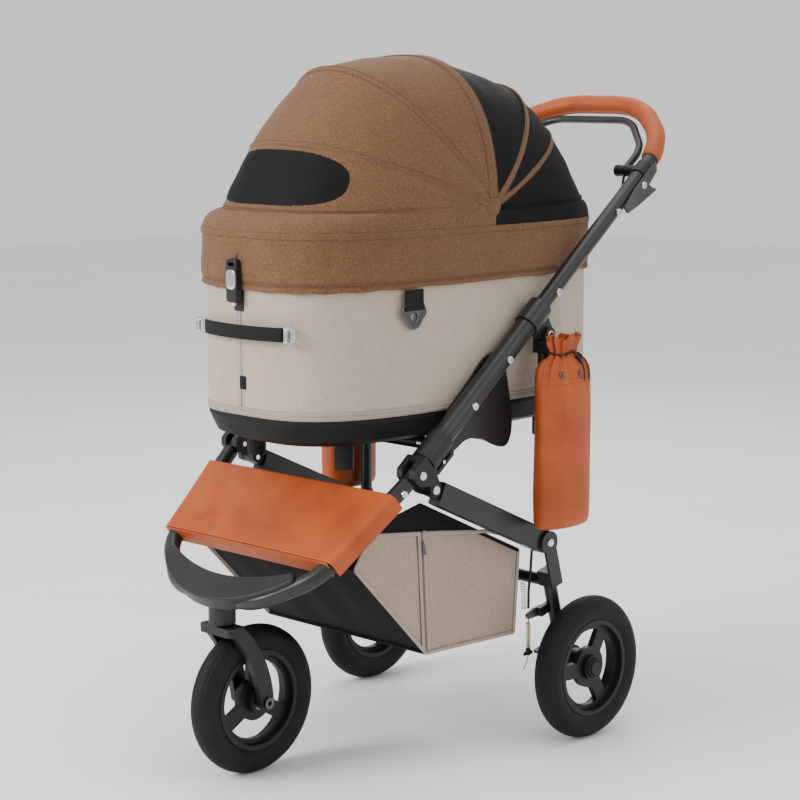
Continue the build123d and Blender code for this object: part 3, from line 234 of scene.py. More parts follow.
SATIN = hard("satin_black_coat", (0.010, 0.010, 0.011), (0.017, 0.017, 0.018), 0.36, 0.0, 1400, 0.12, 0.45)
MOULDED = hard("moulded_black", (0.009, 0.009, 0.009), (0.015, 0.015, 0.016), 0.46, 0.0, 1100, 0.3, 0.35)
TRAY = hard("tray_black", (0.006, 0.006, 0.006), (0.010, 0.010, 0.010), 0.6, 0.0, 900, 0.4, 0.2)
RIM = hard("rim_black", (0.007, 0.007, 0.007), (0.012, 0.012, 0.012), 0.45, 0.0, 1000, 0.25, 0.3)
RUBBER = hard("tyre_rubber", (0.0045, 0.0045, 0.0045), (0.009, 0.009, 0.009), 0.62, 0.0, 700, 0.5, 0.22)
CHROME = hard("bright_plate", (0.62, 0.62, 0.63), (0.78, 0.78, 0.79), 0.16, 1.0, 600, 0.05)
STEEL = hard("satin_steel", (0.3, 0.3, 0.31), (0.42, 0.42, 0.43), 0.36, 1.0, 800, 0.15)
BRASS = hard("yellow_steel", (0.5, 0.36, 0.1), (0.66, 0.5, 0.17), 0.3, 1.0, 800, 0.1)
GUNMETAL = hard("dark_nickel", (0.09, 0.09, 0.095), (0.14, 0.14, 0.145), 0.26, 1.0, 800, 0.1)
CABLE = hard("cable_cover", (0.012, 0.012, 0.012), (0.02, 0.02, 0.02), 0.5, 0.0, 900, 0.2)
BROWN = ((0.3, (0.082, 0.037, 0.017)), (0.48, (0.152, 0.074, 0.036)), (0.66, (0.235, 0.125, 0.066)))
HOOD = cloth("heathered_brown", BROWN, thread=640, slub=0.45, sheen=0.06)
TAPE = cloth("brown_tape", two((0.10, 0.047, 0.023), (0.2, 0.105, 0.055)), thread=900, slub=0.2, sheen=0.05)
GREIGE = ((0.3, (0.36, 0.285, 0.222)), (0.5, (0.47, 0.385, 0.308)), (0.7, (0.56, 0.47, 0.385)))
LINEN = cloth("greige_linen", GREIGE, thread=700, slub=0.32, sheen=0.03)
HEM = cloth("pink_grey_hem", two((0.31, 0.235, 0.20), (0.42, 0.33, 0.285)), thread=900, slub=0.3)
BEIGE = ((0.3, (0.27, 0.205, 0.15)), (0.5, (0.39, 0.305, 0.232)), (0.7, (0.48, 0.385, 0.30)))
BASKET = cloth("basket_beige", BEIGE, thread=600, slub=0.4, sheen=0.03)
LINING = cloth("basket_black", two((0.005, 0.005, 0.005), (0.012, 0.011, 0.010)), thread=500, sheen=0.0)
WEBBING = cloth("black_webbing", two((0.006, 0.006, 0.006), (0.018, 0.018, 0.019)), thread=1100, slub=0.2,
                sheen=0.02)
LEATHER = leather_like("tan_leather", (0.30, 0.050, 0.007), (0.375, 0.067, 0.010), (0.44, 0.087, 0.014))
ZIP = cloth("zip_teeth", two((0.13, 0.085, 0.066), (0.2, 0.135, 0.107)), thread=900, slub=0.2)
THREAD = cloth("sewing_thread", two((0.075, 0.036, 0.018), (0.13, 0.066, 0.034)), thread=1500, slub=0.1)
PALE_THREAD = cloth("pale_thread", two((0.44, 0.38, 0.32), (0.6, 0.53, 0.46)), thread=1500, slub=0.1)
TAN_THREAD = cloth("tan_thread", two((0.3, 0.07, 0.018), (0.42, 0.11, 0.03)), thread=1500, slub=0.1)
# the second colour of each net is painted shade in its holes
WINDOW = net("window_mesh", (0.008, 0.008, 0.009), (0.002, 0.002, 0.002), 4.2)
FINE_NET = net("fine_black_mesh", (0.009, 0.009, 0.010), (0.002, 0.002, 0.002), 2.6, 0.7)

# ---------------------------------------------------------------- mesh helpers


def mesh_object(name, points, faces, material, body, flat=None, smooth=True):
    """Mesh from points in mm and a list of quads or triangles, riding on a named body; with a tuple body it
    is only baked in place.
    """
    mesh = bpy.data.meshes.new(name)
    mesh.from_pydata((np.asarray(points) * MM).tolist(), [], [tuple(int(i) for i in f) for f in faces])
    mesh.polygons.foreach_set("use_smooth", [smooth] * len(mesh.polygons))
    if flat is not None:
        store = mesh.attributes.new("flat_mm", "FLOAT_VECTOR", "POINT")
        values = np.zeros((len(points), 3))
        values[:, :2] = flat
        store.data.foreach_set("vector", values.ravel())
    for m in material if isinstance(material, (list, tuple)) else [material]:
        mesh.materials.append(m)
    mesh.update()
    obj = bpy.data.objects.new(name, mesh)
    bpy.context.scene.collection.objects.link(obj)
    if isinstance(body, tuple):
        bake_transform(obj)
    else:
        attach(obj, body)
    return obj


def grid_faces(nu, nv, close_u=False, close_v=False, offset=0, flip=False):
    i = np.arange(nu if close_u else nu - 1)
    j = np.arange(nv if close_v else nv - 1)
    a, b = np.meshgrid(i, j, indexing="ij")
    c, d = (a + 1) % nu, (b + 1) % nv
    quads = np.stack([a * nv + b, c * nv + b, c * nv + d, a * nv + d], -1).reshape(-1, 4) + offset
    return quads[:, ::-1] if flip else quads


def xyz(x, y, z):
    """Points from their three parts, each an array or one value."""
    return np.stack(np.broadcast_arrays(x, y, z), -1)


def unit(v):
    """Vectors of an array brought to length 1 along its last axis."""
    return v / np.linalg.norm(v, axis=-1, keepdims=True)


def normals_of(grid, close_u=False, close_v=False):
    """Unit normals of a grid of points from the cross product of its two difference directions."""
    def step(g, axis, closed):
        if closed:
            return np.roll(g, -1, axis) - np.roll(g, 1, axis)
        return np.gradient(g, axis=axis)
    n = np.cross(step(grid, 0, close_u), step(grid, 1, close_v))
    return n / np.maximum(np.linalg.norm(n, axis=-1, keepdims=True), 1e-9)


def lengths_of(grid):
    """Arc lengths along the two directions of a grid, as flat coordinates in mm."""
    u = np.cumsum(np.linalg.norm(np.diff(grid, axis=0, prepend=grid[:1]), axis=-1), axis=0)
    v = np.cumsum(np.linalg.norm(np.diff(grid, axis=1, prepend=grid[:, :1]), axis=-1), axis=1)
    middle_u = u[:, u.shape[1] // 2][:, None] + np.zeros(u.shape)
    middle_v = v[v.shape[0] // 2][None, :] + np.zeros(v.shape)
    return np.stack([middle_u, middle_v], -1).reshape(-1, 2)


def surface(name, grid, material, body, close_u=False, close_v=False, flip=False, thick=0.0, pick=None):
    """Surface through a grid of points P(u, v); with thick, a closed shell P - thick * n(u, v) behind it."""
    nu, nv = grid.shape[:2]
    flat = lengths_of(grid)
    faces = grid_faces(nu, nv, close_u, close_v, 0, flip)
    points = grid.reshape(-1, 3)
    if thick:
        n = normals_of(grid, close_u, close_v) * (-1 if flip else 1)
        inner = (grid - thick * n).reshape(-1, 3)
        back = grid_faces(nu, nv, close_u, close_v, nu * nv, not flip)
        rim = []
        idx = np.arange(nu * nv).reshape(nu, nv)
        edges = []
        if not close_v:
            edges += [(idx[:, 0], False), (idx[:, -1], True)]
        if not close_u:
            edges += [(idx[0], True), (idx[-1], False)]
        for line, turned in edges:
            loop_closed = (close_u and len(line) == nu) or (close_v and len(line) == nv)
            nxt = np.roll(line, -1) if loop_closed else line[1:]
            cur = line if loop_closed else line[:-1]
            quad = np.stack([cur, cur + nu * nv, nxt + nu * nv, nxt], -1)
            rim.append(quad[:, ::-1] if turned != flip else quad)
        faces = np.concatenate([faces, back] + rim)
        points = np.concatenate([points, inner])
        flat = np.concatenate([flat, flat])
    obj = mesh_object(name, points, faces, material, body, flat)
    if pick is not None:
        choice = pick(points[faces].mean(axis=1) if isinstance(faces, np.ndarray) else None)
        obj.data.polygons.foreach_set("material_index", choice.astype(int))
    return obj


def sweep_points(path, radius, sides=10, closed=False, squash=1.0, up=None):
    """Rings of a round or flattened profile carried along a path without twisting."""
    path = np.asarray(path, float)
    n = len(path)
    if closed:
        tangent = np.roll(path, -1, 0) - np.roll(path, 1, 0)
    else:
        tangent = np.gradient(path, axis=0)
    tangent = unit(tangent)
    if up is None:
        side = np.cross(tangent[0], [0.3, 0.2, 0.93])
        if np.linalg.norm(side) < 0.1:
            side = np.cross(tangent[0], [1, 0, 0])
        normal = [np.cross(side / np.linalg.norm(side), tangent[0])]
        for i in range(1, n):
            v = normal[-1] - tangent[i] * np.dot(normal[-1], tangent[i])
            normal.append(v / np.linalg.norm(v))
        normal = np.array(normal)
    else:
        normal = np.asarray(up, float) * np.ones((n, 1))
        normal = normal - tangent * np.sum(normal * tangent, axis=1, keepdims=True)
        normal = unit(normal)
    binormal = np.cross(tangent, normal)
    angle = np.linspace(0, 2 * np.pi, sides, endpoint=False)
    r = np.broadcast_to(np.asarray(radius, float), (n,))[:, None, None]
    ring = (np.cos(angle)[None, :, None] * normal[:, None] * squash
            + np.sin(angle)[None, :, None] * binormal[:, None])
    return path[:, None] + r * ring


def tube(name, path, radius, material, body, sides=10, closed=False, squash=1.0, up=None):
    """Tube of a profile along a path, its ends closed with flat caps."""
    rings = sweep_points(path, radius, sides, closed, squash, up)
    n = len(rings)
    faces = [list(f) for f in grid_faces(n, sides, closed, True)]
    points = rings.reshape(-1, 3)
    if not closed:
        faces += [list(range(sides)), list(range(n * sides - 1, (n - 1) * sides - 1, -1))]
    return mesh_object(name, points, [f[::-1] for f in faces], material, body)


def stitches(name, path, material, body, normal, pitch=5.5, share=0.68, radius=0.55):
    """A row of short threads along a path: each is an arc that dips into the cloth at both ends."""
    path = np.asarray(path, float)
    normal = np.asarray(normal, float) * np.ones((len(path), 1))
    gone = np.concatenate([[0], np.cumsum(np.linalg.norm(np.diff(path, axis=0), axis=1))])
    count = int(gone[-1] / pitch)
    points, faces = [], []
    sides = 5
    for k in range(count):
        place = (k + np.array([0.0, 0.25, 0.5, 0.75, 1.0]) * share) * pitch
        line = np.stack([np.interp(place, gone, path[:, a]) for a in range(3)], 1)
        up = np.stack([np.interp(place, gone, normal[:, a]) for a in range(3)], 1)
        line = line + up * np.array([-0.5, 0.25, 0.5, 0.25, -0.5])[:, None] * radius
        rings = sweep_points(line, radius, sides)
        base = len(points)
        points.extend(rings.reshape(-1, 3))
        faces.extend((grid_faces(len(line), sides, False, True, base, True)).tolist())
    return mesh_object(name, np.array(points), faces, material, body)


def revolve(name, profile, centre, axis, material, body, steps=40):
    """Turned piece: the profile's (radius, height) pairs swung round an axis through a centre."""
    axis = unit(np.asarray(axis, float))
    first = np.cross(axis, [0.2, 0.5, 0.9])
    first = unit(first)
    second = np.cross(axis, first)
    a = np.linspace(0, 2 * np.pi, steps, endpoint=False)
    profile = np.asarray(profile, float)
    ring = np.cos(a)[:, None] * first + np.sin(a)[:, None] * second
    grid = np.asarray(centre) + profile[None, :, :1] * ring[:, None] + profile[None, :, 1:] * axis
    return surface(name, grid, material, body, close_u=True, flip=True)


def paint(material, *names):
    for name in names:
        data = frame["nodes"][name].data
        data.materials.clear()
        data.materials.append(material)


def sgn_pow(value, power):
    return np.sign(value) * np.abs(value) ** power


def ripples(a, b, waves, size):
    """Sum of sines of a and b with set phases, for soft wrinkles."""
    total = 0
    for ka, kb, phase, weight in waves:
        total = total + weight * np.sin(ka * a + kb * b + phase)
    return size * total

# ---------------------------------------------------------------- fixed nodes' finishes

paint(SATIN, "handle_tube", "sleeve_tubes", "struts", "side_rails", "cradle_plates", "cradle_tubes",
      "front_loop",
      "rear_legs", "brake_bar", "upper_brackets", "centre_bow", "front_bow", "rear_bow", "front_lip_bow",
      "rear_lip_bow")
paint(MOULDED, "knuckles", "lock_collars", "brake_housings", "steering_head", "foot_step", "fork",
      "bag_cord_locks",
      "front_buckle")
paint(HOOD, "hood_pivots")
paint(TRAY, "cot_tray")
paint(RIM, "front_rim", "rear_rim_left", "rear_rim_right", "rear_hub_cap_left", "rear_hub_cap_right")
paint(STEEL, "front_bearings", "rear_bearings_left", "rear_bearings_right", "rear_axles", "brake_arms")
paint(GUNMETAL, "fold_triggers", "front_axle", "d_ring_left", "d_ring_right")
paint(CHROME, "frame_bolts", "hinge_pins", "cradle_rings", "strap_clasps")
paint(CABLE, "upper_brake_cables", "lower_brake_cables")

# ---------------------------------------------------------------- hood

HALF_WIDTH = 184.5
# Bow outlines: angle from the front, reach from the pivot and corner exponent
BOWS = np.array([(0.0, 323.0, 3.0), (20.0, 297.0, 2.4), (50.3, 277.0, 2.1), (87.6, 233.0, 2.45),
                 (136.0, 266.0, 2.1), (154.0, 278.0, 2.5), (180.0, 321.0, 3.0)])
LIP, NOSE, FRONT, CENTRE, REAR, TAIL, END = range(7)


def bow_points(angle, reach, corner, u, start=15.0):
    """Half superellipse |x/w|^n + (y/reach)^n = 1 in the plane turned by angle about the pivot axis."""
    first = np.arcsin(np.clip((start / reach) ** (corner / 2), 0, 1))
    a = first + (np.pi - 2 * first) * u
    x = HALF_WIDTH * sgn_pow(np.cos(a), 2 / corner)
    y = reach * np.sin(a) ** (2 / corner)
    phi = np.radians(angle)
    return xyz(x, PIVOT[1] - y * np.cos(phi), PIVOT[2] + y * np.sin(phi))


def panel(i, j, nu, nv, puff, seed):
    """Cloth between bows i and j: straight from one to the other, puffed out in the middle and wrinkled."""
    u = np.linspace(0, 1, nu)
    w = np.linspace(0, 1, nv)
    first = bow_points(*BOWS[i], u)
    last = bow_points(*BOWS[j], u)
    grid = first[:, None] * (1 - w)[None, :, None] + last[:, None] * w[None, :, None]
    n = normals_of(grid)
    centre = grid.mean(axis=(0, 1))
    out = np.sign(np.sum(n * (grid - [0, PIVOT[1], PIVOT[2] - 60]), axis=-1, keepdims=True))
    n = n * np.where(out == 0, 1, out)
    bell = np.sin(np.pi * w)[None, :] ** 0.8 * np.sin(np.pi * np.clip(u, 0, 1))[:, None] ** 0.3
    uu, ww = np.meshgrid(u * 30, w * 8, indexing="ij")
    shift = seed * 1.7
    waves = ((0.9, 0.5, shift, 0.8), (1.9, -0.7, 1.3 + shift, 0.45), (0.35, 1.6, 2.1 + shift, 0.6))
    grid = grid + n * (puff * bell + ripples(uu, ww, waves, 0.9) * bell)[..., None]
    return grid, n


def hood_piece(name, i, j, material, body, puff, seed):
    grid = panel(i, j, 150, 44, puff, seed)[0]
    return surface(name, grid, material, body, thick=1.6)


def piping(name, i, material, body, width, raise_by=0.7, rows=(-0.36, 0.36), low=0.0, high=1.0,
           thread=None):
    """Felled seam along bow i: a flattened strip over the joint with rows of stitches along its edges."""
    u = np.linspace(low, high, 130)
    path = bow_points(*BOWS[i], u)
    ahead = bow_points(BOWS[i][0] + 2, BOWS[i][1], BOWS[i][2], u) - path
    across = unit(ahead)
    tangent = np.gradient(path, axis=0)
    tangent = unit(tangent)
    out = np.cross(tangent, across)
    side = np.sign(np.sum(out * (path - [0, PIVOT[1], PIVOT[2] - 60]), axis=1, keepdims=True))
    out = unit(out) * side
    tube(name, path + out * raise_by, width / 2, material, body, 12, squash=0.24, up=out)
    for k, row in enumerate(rows):
        line = path + across * row * width + out * (raise_by + width * 0.5 * 0.2)
        stitches(f"{name}.thread{k}", line, thread or THREAD, body, out, 5.0)


def soft_between(a, b, start, end):
    return (a, b, tuple(np.array(start) * MM), tuple(np.array(end) * MM))


def bow_top(i):
    return bow_points(*BOWS[i], np.array([0.5]))[0]


front_blend = soft_between("hood_front_lip", "hood_front_bow", bow_top(LIP), bow_top(FRONT))
middle_blend = soft_between("hood_front_bow", "cot", bow_top(FRONT), bow_top(CENTRE))
rear_blend = soft_between("cot", "hood_rear_bow", bow_top(CENTRE), bow_top(REAR))
tail_blend = soft_between("hood_rear_bow", "hood_rear_lip", bow_top(REAR), bow_top(END))

# Mesh window low in the front face, its corners in bow position u and share w from lip to nose
WINDOW_U = (0.294, 0.706)
WINDOW_W = (0.09, 0.90)


def in_window(u, w):
    """Inside a rounded box |du|^3 + |dw|^3 < 1 about the window's middle."""
    du = (u - sum(WINDOW_U) / 2) / ((WINDOW_U[1] - WINDOW_U[0]) / 2)
    dw = (w - sum(WINDOW_W) / 2) / ((WINDOW_W[1] - WINDOW_W[0]) / 2)
    return np.abs(du) ** 3 + np.abs(dw) ** 3 < 1


nose_nu, nose_nv = 420, 90
nose_grid, nose_out = panel(LIP, NOSE, nose_nu, nose_nv, 2.0, 1)
nose = surface("front_face", nose_grid, [HOOD, WINDOW], front_blend, thick=1.6)
cell_u, cell_w = np.meshgrid((np.arange(nose_nu - 1) + 0.5) / (nose_nu - 1),
                             (np.arange(nose_nv - 1) + 0.5) / (nose_nv - 1), indexing="ij")
window_cells = in_window(cell_u, cell_w).ravel().astype(int)
chosen = np.zeros(len(nose.data.polygons), int)
chosen[:2 * len(window_cells)] = np.concatenate([window_cells, window_cells])
nose.data.polygons.foreach_set("material_index", chosen)
ring = np.linspace(0, 2 * np.pi, 160, endpoint=False)
ring_u = sum(WINDOW_U) / 2 + (WINDOW_U[1] - WINDOW_U[0]) / 2 * sgn_pow(np.cos(ring), 2 / 3)
ring_w = sum(WINDOW_W) / 2 + (WINDOW_W[1] - WINDOW_W[0]) / 2 * sgn_pow(np.sin(ring), 2 / 3)


def on_grid(grid, u, w):
    """Bilinear point of a grid at parameters u and w between 0 and 1."""
    fu, fw = u * (grid.shape[0] - 1), w * (grid.shape[1] - 1)
    i, j = np.clip(fu.astype(int), 0, grid.shape[0] - 2), np.clip(fw.astype(int), 0, grid.shape[1] - 2)
    a, b = (fu - i)[:, None], (fw - j)[:, None]
    return ((grid[i, j] * (1 - a) + grid[i + 1, j] * a) * (1 - b)
            + (grid[i, j + 1] * (1 - a) + grid[i + 1, j + 1] * a) * b)


edge = on_grid(nose_grid, ring_u, ring_w)
edge_out = on_grid(nose_out, ring_u, ring_w)
tube("window_binding", edge + edge_out * 0.5, 2.2, TAPE, front_blend, 8, closed=True, squash=0.5,
     up=edge_out)
wide_u = sum(WINDOW_U) / 2 + (ring_u - sum(WINDOW_U) / 2) * 1.045
wide_w = sum(WINDOW_W) / 2 + (ring_w - sum(WINDOW_W) / 2) * 1.08
around = on_grid(nose_grid, np.clip(wide_u, 0, 1), np.clip(wide_w, 0.01, 0.99))
stitches("window_binding.thread", around, THREAD, front_blend,
         on_grid(nose_out, wide_u, np.clip(wide_w, 0, 1)), 5.0)

hood_front = hood_piece("front_crown", NOSE, FRONT, HOOD, front_blend, 5.0, 2)
hood_middle = hood_piece("middle_crown", FRONT, CENTRE, HOOD, middle_blend, 4.0, 3)
hood_rear = hood_piece("rear_mesh_upper", CENTRE, REAR, FINE_NET, rear_blend, 2.5, 4)
hood_tail = hood_piece("rear_mesh_lower", REAR, TAIL, FINE_NET, tail_blend, 1.5, 5)
hood_end = hood_piece("rear_mesh_end", TAIL, END, FINE_NET, tail_blend, 1.5, 6)
for piece in (nose, hood_front):
    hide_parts("front_panel")
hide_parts("middle_panel")
for piece in (hood_rear, hood_tail, hood_end):
    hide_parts("rear_mesh_panel")

for side, tag in SIDES:
    revolve(f"pivot_patch_{tag}", ((0, 3.0), (6, 2.8), (12, 2.0), (16.5, 0.4), (17.5, -1.5)),
            (side * (HALF_WIDTH + 1.5), PIVOT[1], PIVOT[2] + 2), (side, 0, 0), HOOD, "cot", 40)

piping("nose_seam", NOSE, HOOD, front_blend, 11, 1.2)
piping("front_seam", FRONT, HOOD, "hood_front_bow", 13, 1.4)
piping("centre_seam", CENTRE, HOOD, "cot", 24, 1.0, (-0.42, -0.06, 0.06, 0.42))
piping("rear_tape", REAR, TAPE, "hood_rear_bow", 17, 0.9, (-0.4, 0.4))
piping("tail_tape", TAIL, TAPE, tail_blend, 12, 0.9, (-0.38, 0.38))
piping("front_lip_seam", LIP, HOOD, "hood_front_lip", 10, 0.6, (0.4,))
piping("rear_lip_seam", END, FINE_NET, "hood_rear_lip", 12, 0.6, (-0.4,), thread=WEBBING)

# ---------------------------------------------------------------- skirt and cot

wall_low, wall_high = node_mm("cot_wall")
skirt_low, skirt_high = node_mm("hood_skirt")
COT_CENTRE = np.array([0.0, (wall_low[1] + wall_high[1]) / 2])
COT_A, COT_B = (wall_high[0] - wall_low[0]) / 2, (wall_high[1] - wall_low[1]) / 2
CORNER = 3.3


def ring_points(a, b, theta, centre_y, corner=CORNER):
    """Superellipse |x/a|^n + |y/b|^n = 1; theta runs round it."""
    x = a * sgn_pow(np.cos(theta), 2 / corner)
    y = centre_y + b * sgn_pow(np.sin(theta), 2 / corner)
    return x, y


theta = np.linspace(0, 2 * np.pi, 420, endpoint=False)
# even out the spacing round the outline
tx, ty = ring_points(COT_A, COT_B, np.linspace(0, 2 * np.pi, 4001), 0)
gone = np.concatenate([[0], np.cumsum(np.hypot(np.diff(tx), np.diff(ty)))])
theta = np.interp(np.linspace(0, gone[-1], 480, endpoint=False), gone, np.linspace(0, 2 * np.pi, 4001))


def banded(levels, theta, wrinkle):
    """Stacked outlines: each level gives z, half sizes, centre and corner, with radial wrinkles added."""
    grid = []
    for k, (z, a, b, centre_y, corner) in enumerate(levels):
        x, y = ring_points(a, b, theta, centre_y, corner)
        grid.append(xyz(x, y, np.full(len(theta), z)))
    grid = np.array(grid).transpose(1, 0, 2)
    n = normals_of(grid, close_u=True)
    out = np.sign(np.sum(n[..., :2] * (grid[..., :2] - [0, COT_CENTRE[1]]), axis=-1, keepdims=True))
    n = n * out
    return grid + n * wrinkle(theta[:, None], grid[..., 2])[..., None], n


low_z, turn_z = skirt_low[2], 852.0
SK_A, SK_B = (skirt_high[0] - skirt_low[0]) / 2, (skirt_high[1] - skirt_low[1]) / 2
SHOULDER_B = (BOWS[LIP][1] + BOWS[END][1]) / 2 + 1
SHOULDER_Y = PIVOT[1] + (BOWS[END][1] - BOWS[LIP][1]) / 2
levels = []
for z in np.linspace(low_z + 1, turn_z - 8, 34):
    levels.append((z, SK_A, SK_B, COT_CENTRE[1], CORNER))
for s in np.linspace(0, 1, 14):
    z = turn_z - 8 + (PIVOT[2] - 0.5 - turn_z + 8) * np.sin(s * np.pi / 2)
    share = 1 - np.cos(s * np.pi / 2)
    levels.append((z, SK_A + (HALF_WIDTH - SK_A) * share, SK_B + (SHOULDER_B - SK_B) * share,
                   COT_CENTRE[1] + (SHOULDER_Y - COT_CENTRE[1]) * share, CORNER + (3.0 - CORNER) * share))


def skirt_wrinkle(t, z):
    """Upright ripples that grow towards the gathered lower edge, and long shallow buckles."""
    k = np.clip((turn_z - z) / (turn_z - low_z), 0, 1)
    upright = np.sin(23 * t + 2.1 * np.sin(3 * t)) + 0.6 * np.sin(37 * t + 1.3 + 3 * np.sin(2 * t))
    slant = np.sin(9 * t + 0.05 * z) + 0.7 * np.sin(15 * t - 0.08 * z + 1)
    hem = 2.4 * np.exp(-((z - low_z - 9) / 4) ** 2)
    return 0.9 * upright * (0.25 + 0.75 * k ** 2) + 0.8 * slant * np.sin(np.pi * k) - hem


skirt_grid, skirt_out = banded(levels, theta, skirt_wrinkle)
droop = 4 * np.sin(2 * theta + 0.6) + 1.6 * np.sin(23 * theta)
skirt_grid[:, :, 2] += droop[:, None] * np.clip(1 - (skirt_grid[:, :, 2] - low_z) / 40, 0, 1) * 0.5


SKIRT_MESH_Z = 839.0


def skirt_cloth_of(centres):
    """Rear shoulder of the skirt is mesh, the rest is cloth."""
    return (centres[:, 1] > PIVOT[1] + 6) & (centres[:, 2] > SKIRT_MESH_Z)


skirt = surface("skirt_cloth", skirt_grid, [HOOD, FINE_NET], "cot", close_u=True, thick=1.5,
                pick=skirt_cloth_of)
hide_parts("hood_skirt")


def ring_row(grid, out, z_level, lift=0.3):
    """Closed line round a banded grid at a height."""
    line = []
    ups = []
    for column, n in zip(grid, out):
        line.append([np.interp(z_level, column[:, 2], column[:, a]) for a in range(3)])
        ups.append([np.interp(z_level, column[:, 2], n[:, a]) for a in range(3)])
    line, ups = np.array(line), np.array(ups)
    line[:, 2] = z_level
    return line + ups * lift, ups


for k, z in enumerate((low_z + 9, low_z + 12.5, turn_z - 14, turn_z - 6)):
    line, ups = ring_row(skirt_grid, skirt_out, z)
    line, ups = np.vstack([line, line[:1]]), np.vstack([ups, ups[:1]])
    stitches(f"skirt_thread{k}", line, THREAD, "cot", ups, 5.0)
line, ups = ring_row(skirt_grid, skirt_out, turn_z - 10, 0.5)
tube("skirt_top_seam", line, 5.0, HOOD, "cot", 10, closed=True, squash=0.22, up=ups)

levels = [(z, COT_A, COT_B, COT_CENTRE[1], CORNER) for z in np.linspace(wall_low[2] - 2, wall_high[2], 50)]


def wall_wrinkle(t, z):
    """Taut cloth over a board: pulled in at the hem, faint long ripples."""
    k = np.clip((z - wall_low[2]) / 40, 0, 1)
    return 1.2 * k + 0.5 * np.sin(7 * t + 0.012 * z) * k + 0.35 * np.sin(17 * t + 0.03 * z + 1) * k + 0.2


wall = surface("cot_cloth", banded(levels, theta, wall_wrinkle)[0], LINEN, "cot", close_u=True, thick=2.0)
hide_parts("cot_wall")
hem_levels = [(z, COT_A, COT_B, COT_CENTRE[1], CORNER)
              for z in np.linspace(wall_low[2] - 2.5, wall_low[2] + 11, 9)]


def hem_bulge(t, z):
    s = (z - wall_low[2] + 2.5) / 13.5
    return 1.0 + 1.1 * np.sin(np.pi * np.clip(s, 0, 1)) ** 0.5


hem_grid, hem_out = banded(hem_levels, theta, hem_bulge)
surface("cot_hem", hem_grid, HEM, "cot", close_u=True, thick=1.0)
for k, z in enumerate((wall_low[2] + 2, wall_low[2] + 8)):
    line, ups = ring_row(hem_grid, hem_out, z)
    stitches(f"hem_thread{k}", np.vstack([line, line[:1]]), PALE_THREAD, "cot", np.vstack([ups, ups[:1]]),
             4.5)

# Front seam of the cot cloth, with a row of stitches on each side
SEAM_X = -8.0
front_y = COT_CENTRE[1] - COT_B
seam_z = np.linspace(wall_low[2] + 12, low_z + 4, 60)
seam = xyz(SEAM_X, front_y - 1.9, seam_z)
tube("front_seam_fold", seam, 2.4, LINEN, "cot", 8, squash=0.35, up=(0, -1, 0))
for k, dx in enumerate((-5, 5)):
    stitches(f"front_seam_thread{k}", seam + [dx, 0, 0], PALE_THREAD, "cot", (0, -1, 0), 5.0)
label = xyz(SEAM_X + 7, front_y - 2.6, np.linspace(606, 626, 8))
tube("seam_tab", label, 7, WEBBING, "cot", 10, squash=0.14, up=(0, -1, 0))

# Carry strap: a moulded band with ribs near its right end
strap_low, strap_high = node_mm("carry_strap")
s = np.linspace(-1, 1, 90)
half = (strap_high[0] - strap_low[0]) / 2
mid_z = (strap_high[2] + strap_low[2]) / 2
bow_y = strap_high[1] - 4 - (strap_high[1] - strap_low[1] - 4.2) * (1 - s ** 2) ** 0.8
profile = np.linspace(0, 2 * np.pi, 24, endpoint=False)
rows = []
for x, y in zip(s * half, bow_y):
    rib = 0.7 * (np.sin(x * 1.1) > 0) if 42 < x < 80 else 0.0
    rows.append(xyz(x, y - (2.0 + rib) * sgn_pow(np.cos(profile), 0.6),
                    mid_z + 10.8 * sgn_pow(np.sin(profile), 0.5)))
strap = surface("strap_band", np.array(rows), WEBBING, "cot", close_v=True)
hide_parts("carry_strap")
for side, tag in SIDES:
    clasp = np.array([side * 100.0, strap_high[1] - 7.5, mid_z])
    tube(f"clasp_bar_{tag}", np.linspace(clasp - [0, 0, 11], clasp + [0, 0, 11], 6), 2.2, CHROME, "cot", 10)

# Ring tabs: webbing folded round each ring's bar
for side, tag in SIDES:
    ring_joint = joint_mm(f"d_ring_{tag}_swing")
    q = np.linspace(0, 1, 40)
    zz = ring_joint[2] + 28 * (1 - q)
    grid = []
    for dy in np.linspace(-20, 20, 12):
        outer_x = abs(ring_joint[0]) + 1.6 + 2.6 * np.exp(-((zz - ring_joint[2]) / 5) ** 2)
        grid.append(xyz(side * outer_x, ring_joint[1] + dy, zz - 4 * (q == 1)))
    tab = surface(f"ring_tab_{tag}", np.array(grid), WEBBING, "cot", thick=1.4, flip=side < 0)
    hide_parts("ring_tabs")
    for k, z in enumerate((9, 24)):
        line = xyz(side * (abs(ring_joint[0]) + 2.1), np.linspace(-18, 18, 12) + ring_joint[1],
                   ring_joint[2] + z)
        stitches(f"ring_tab_{tag}.thread{k}", line, GUNMETAL, "cot", (side, 0, 0), 4.0)

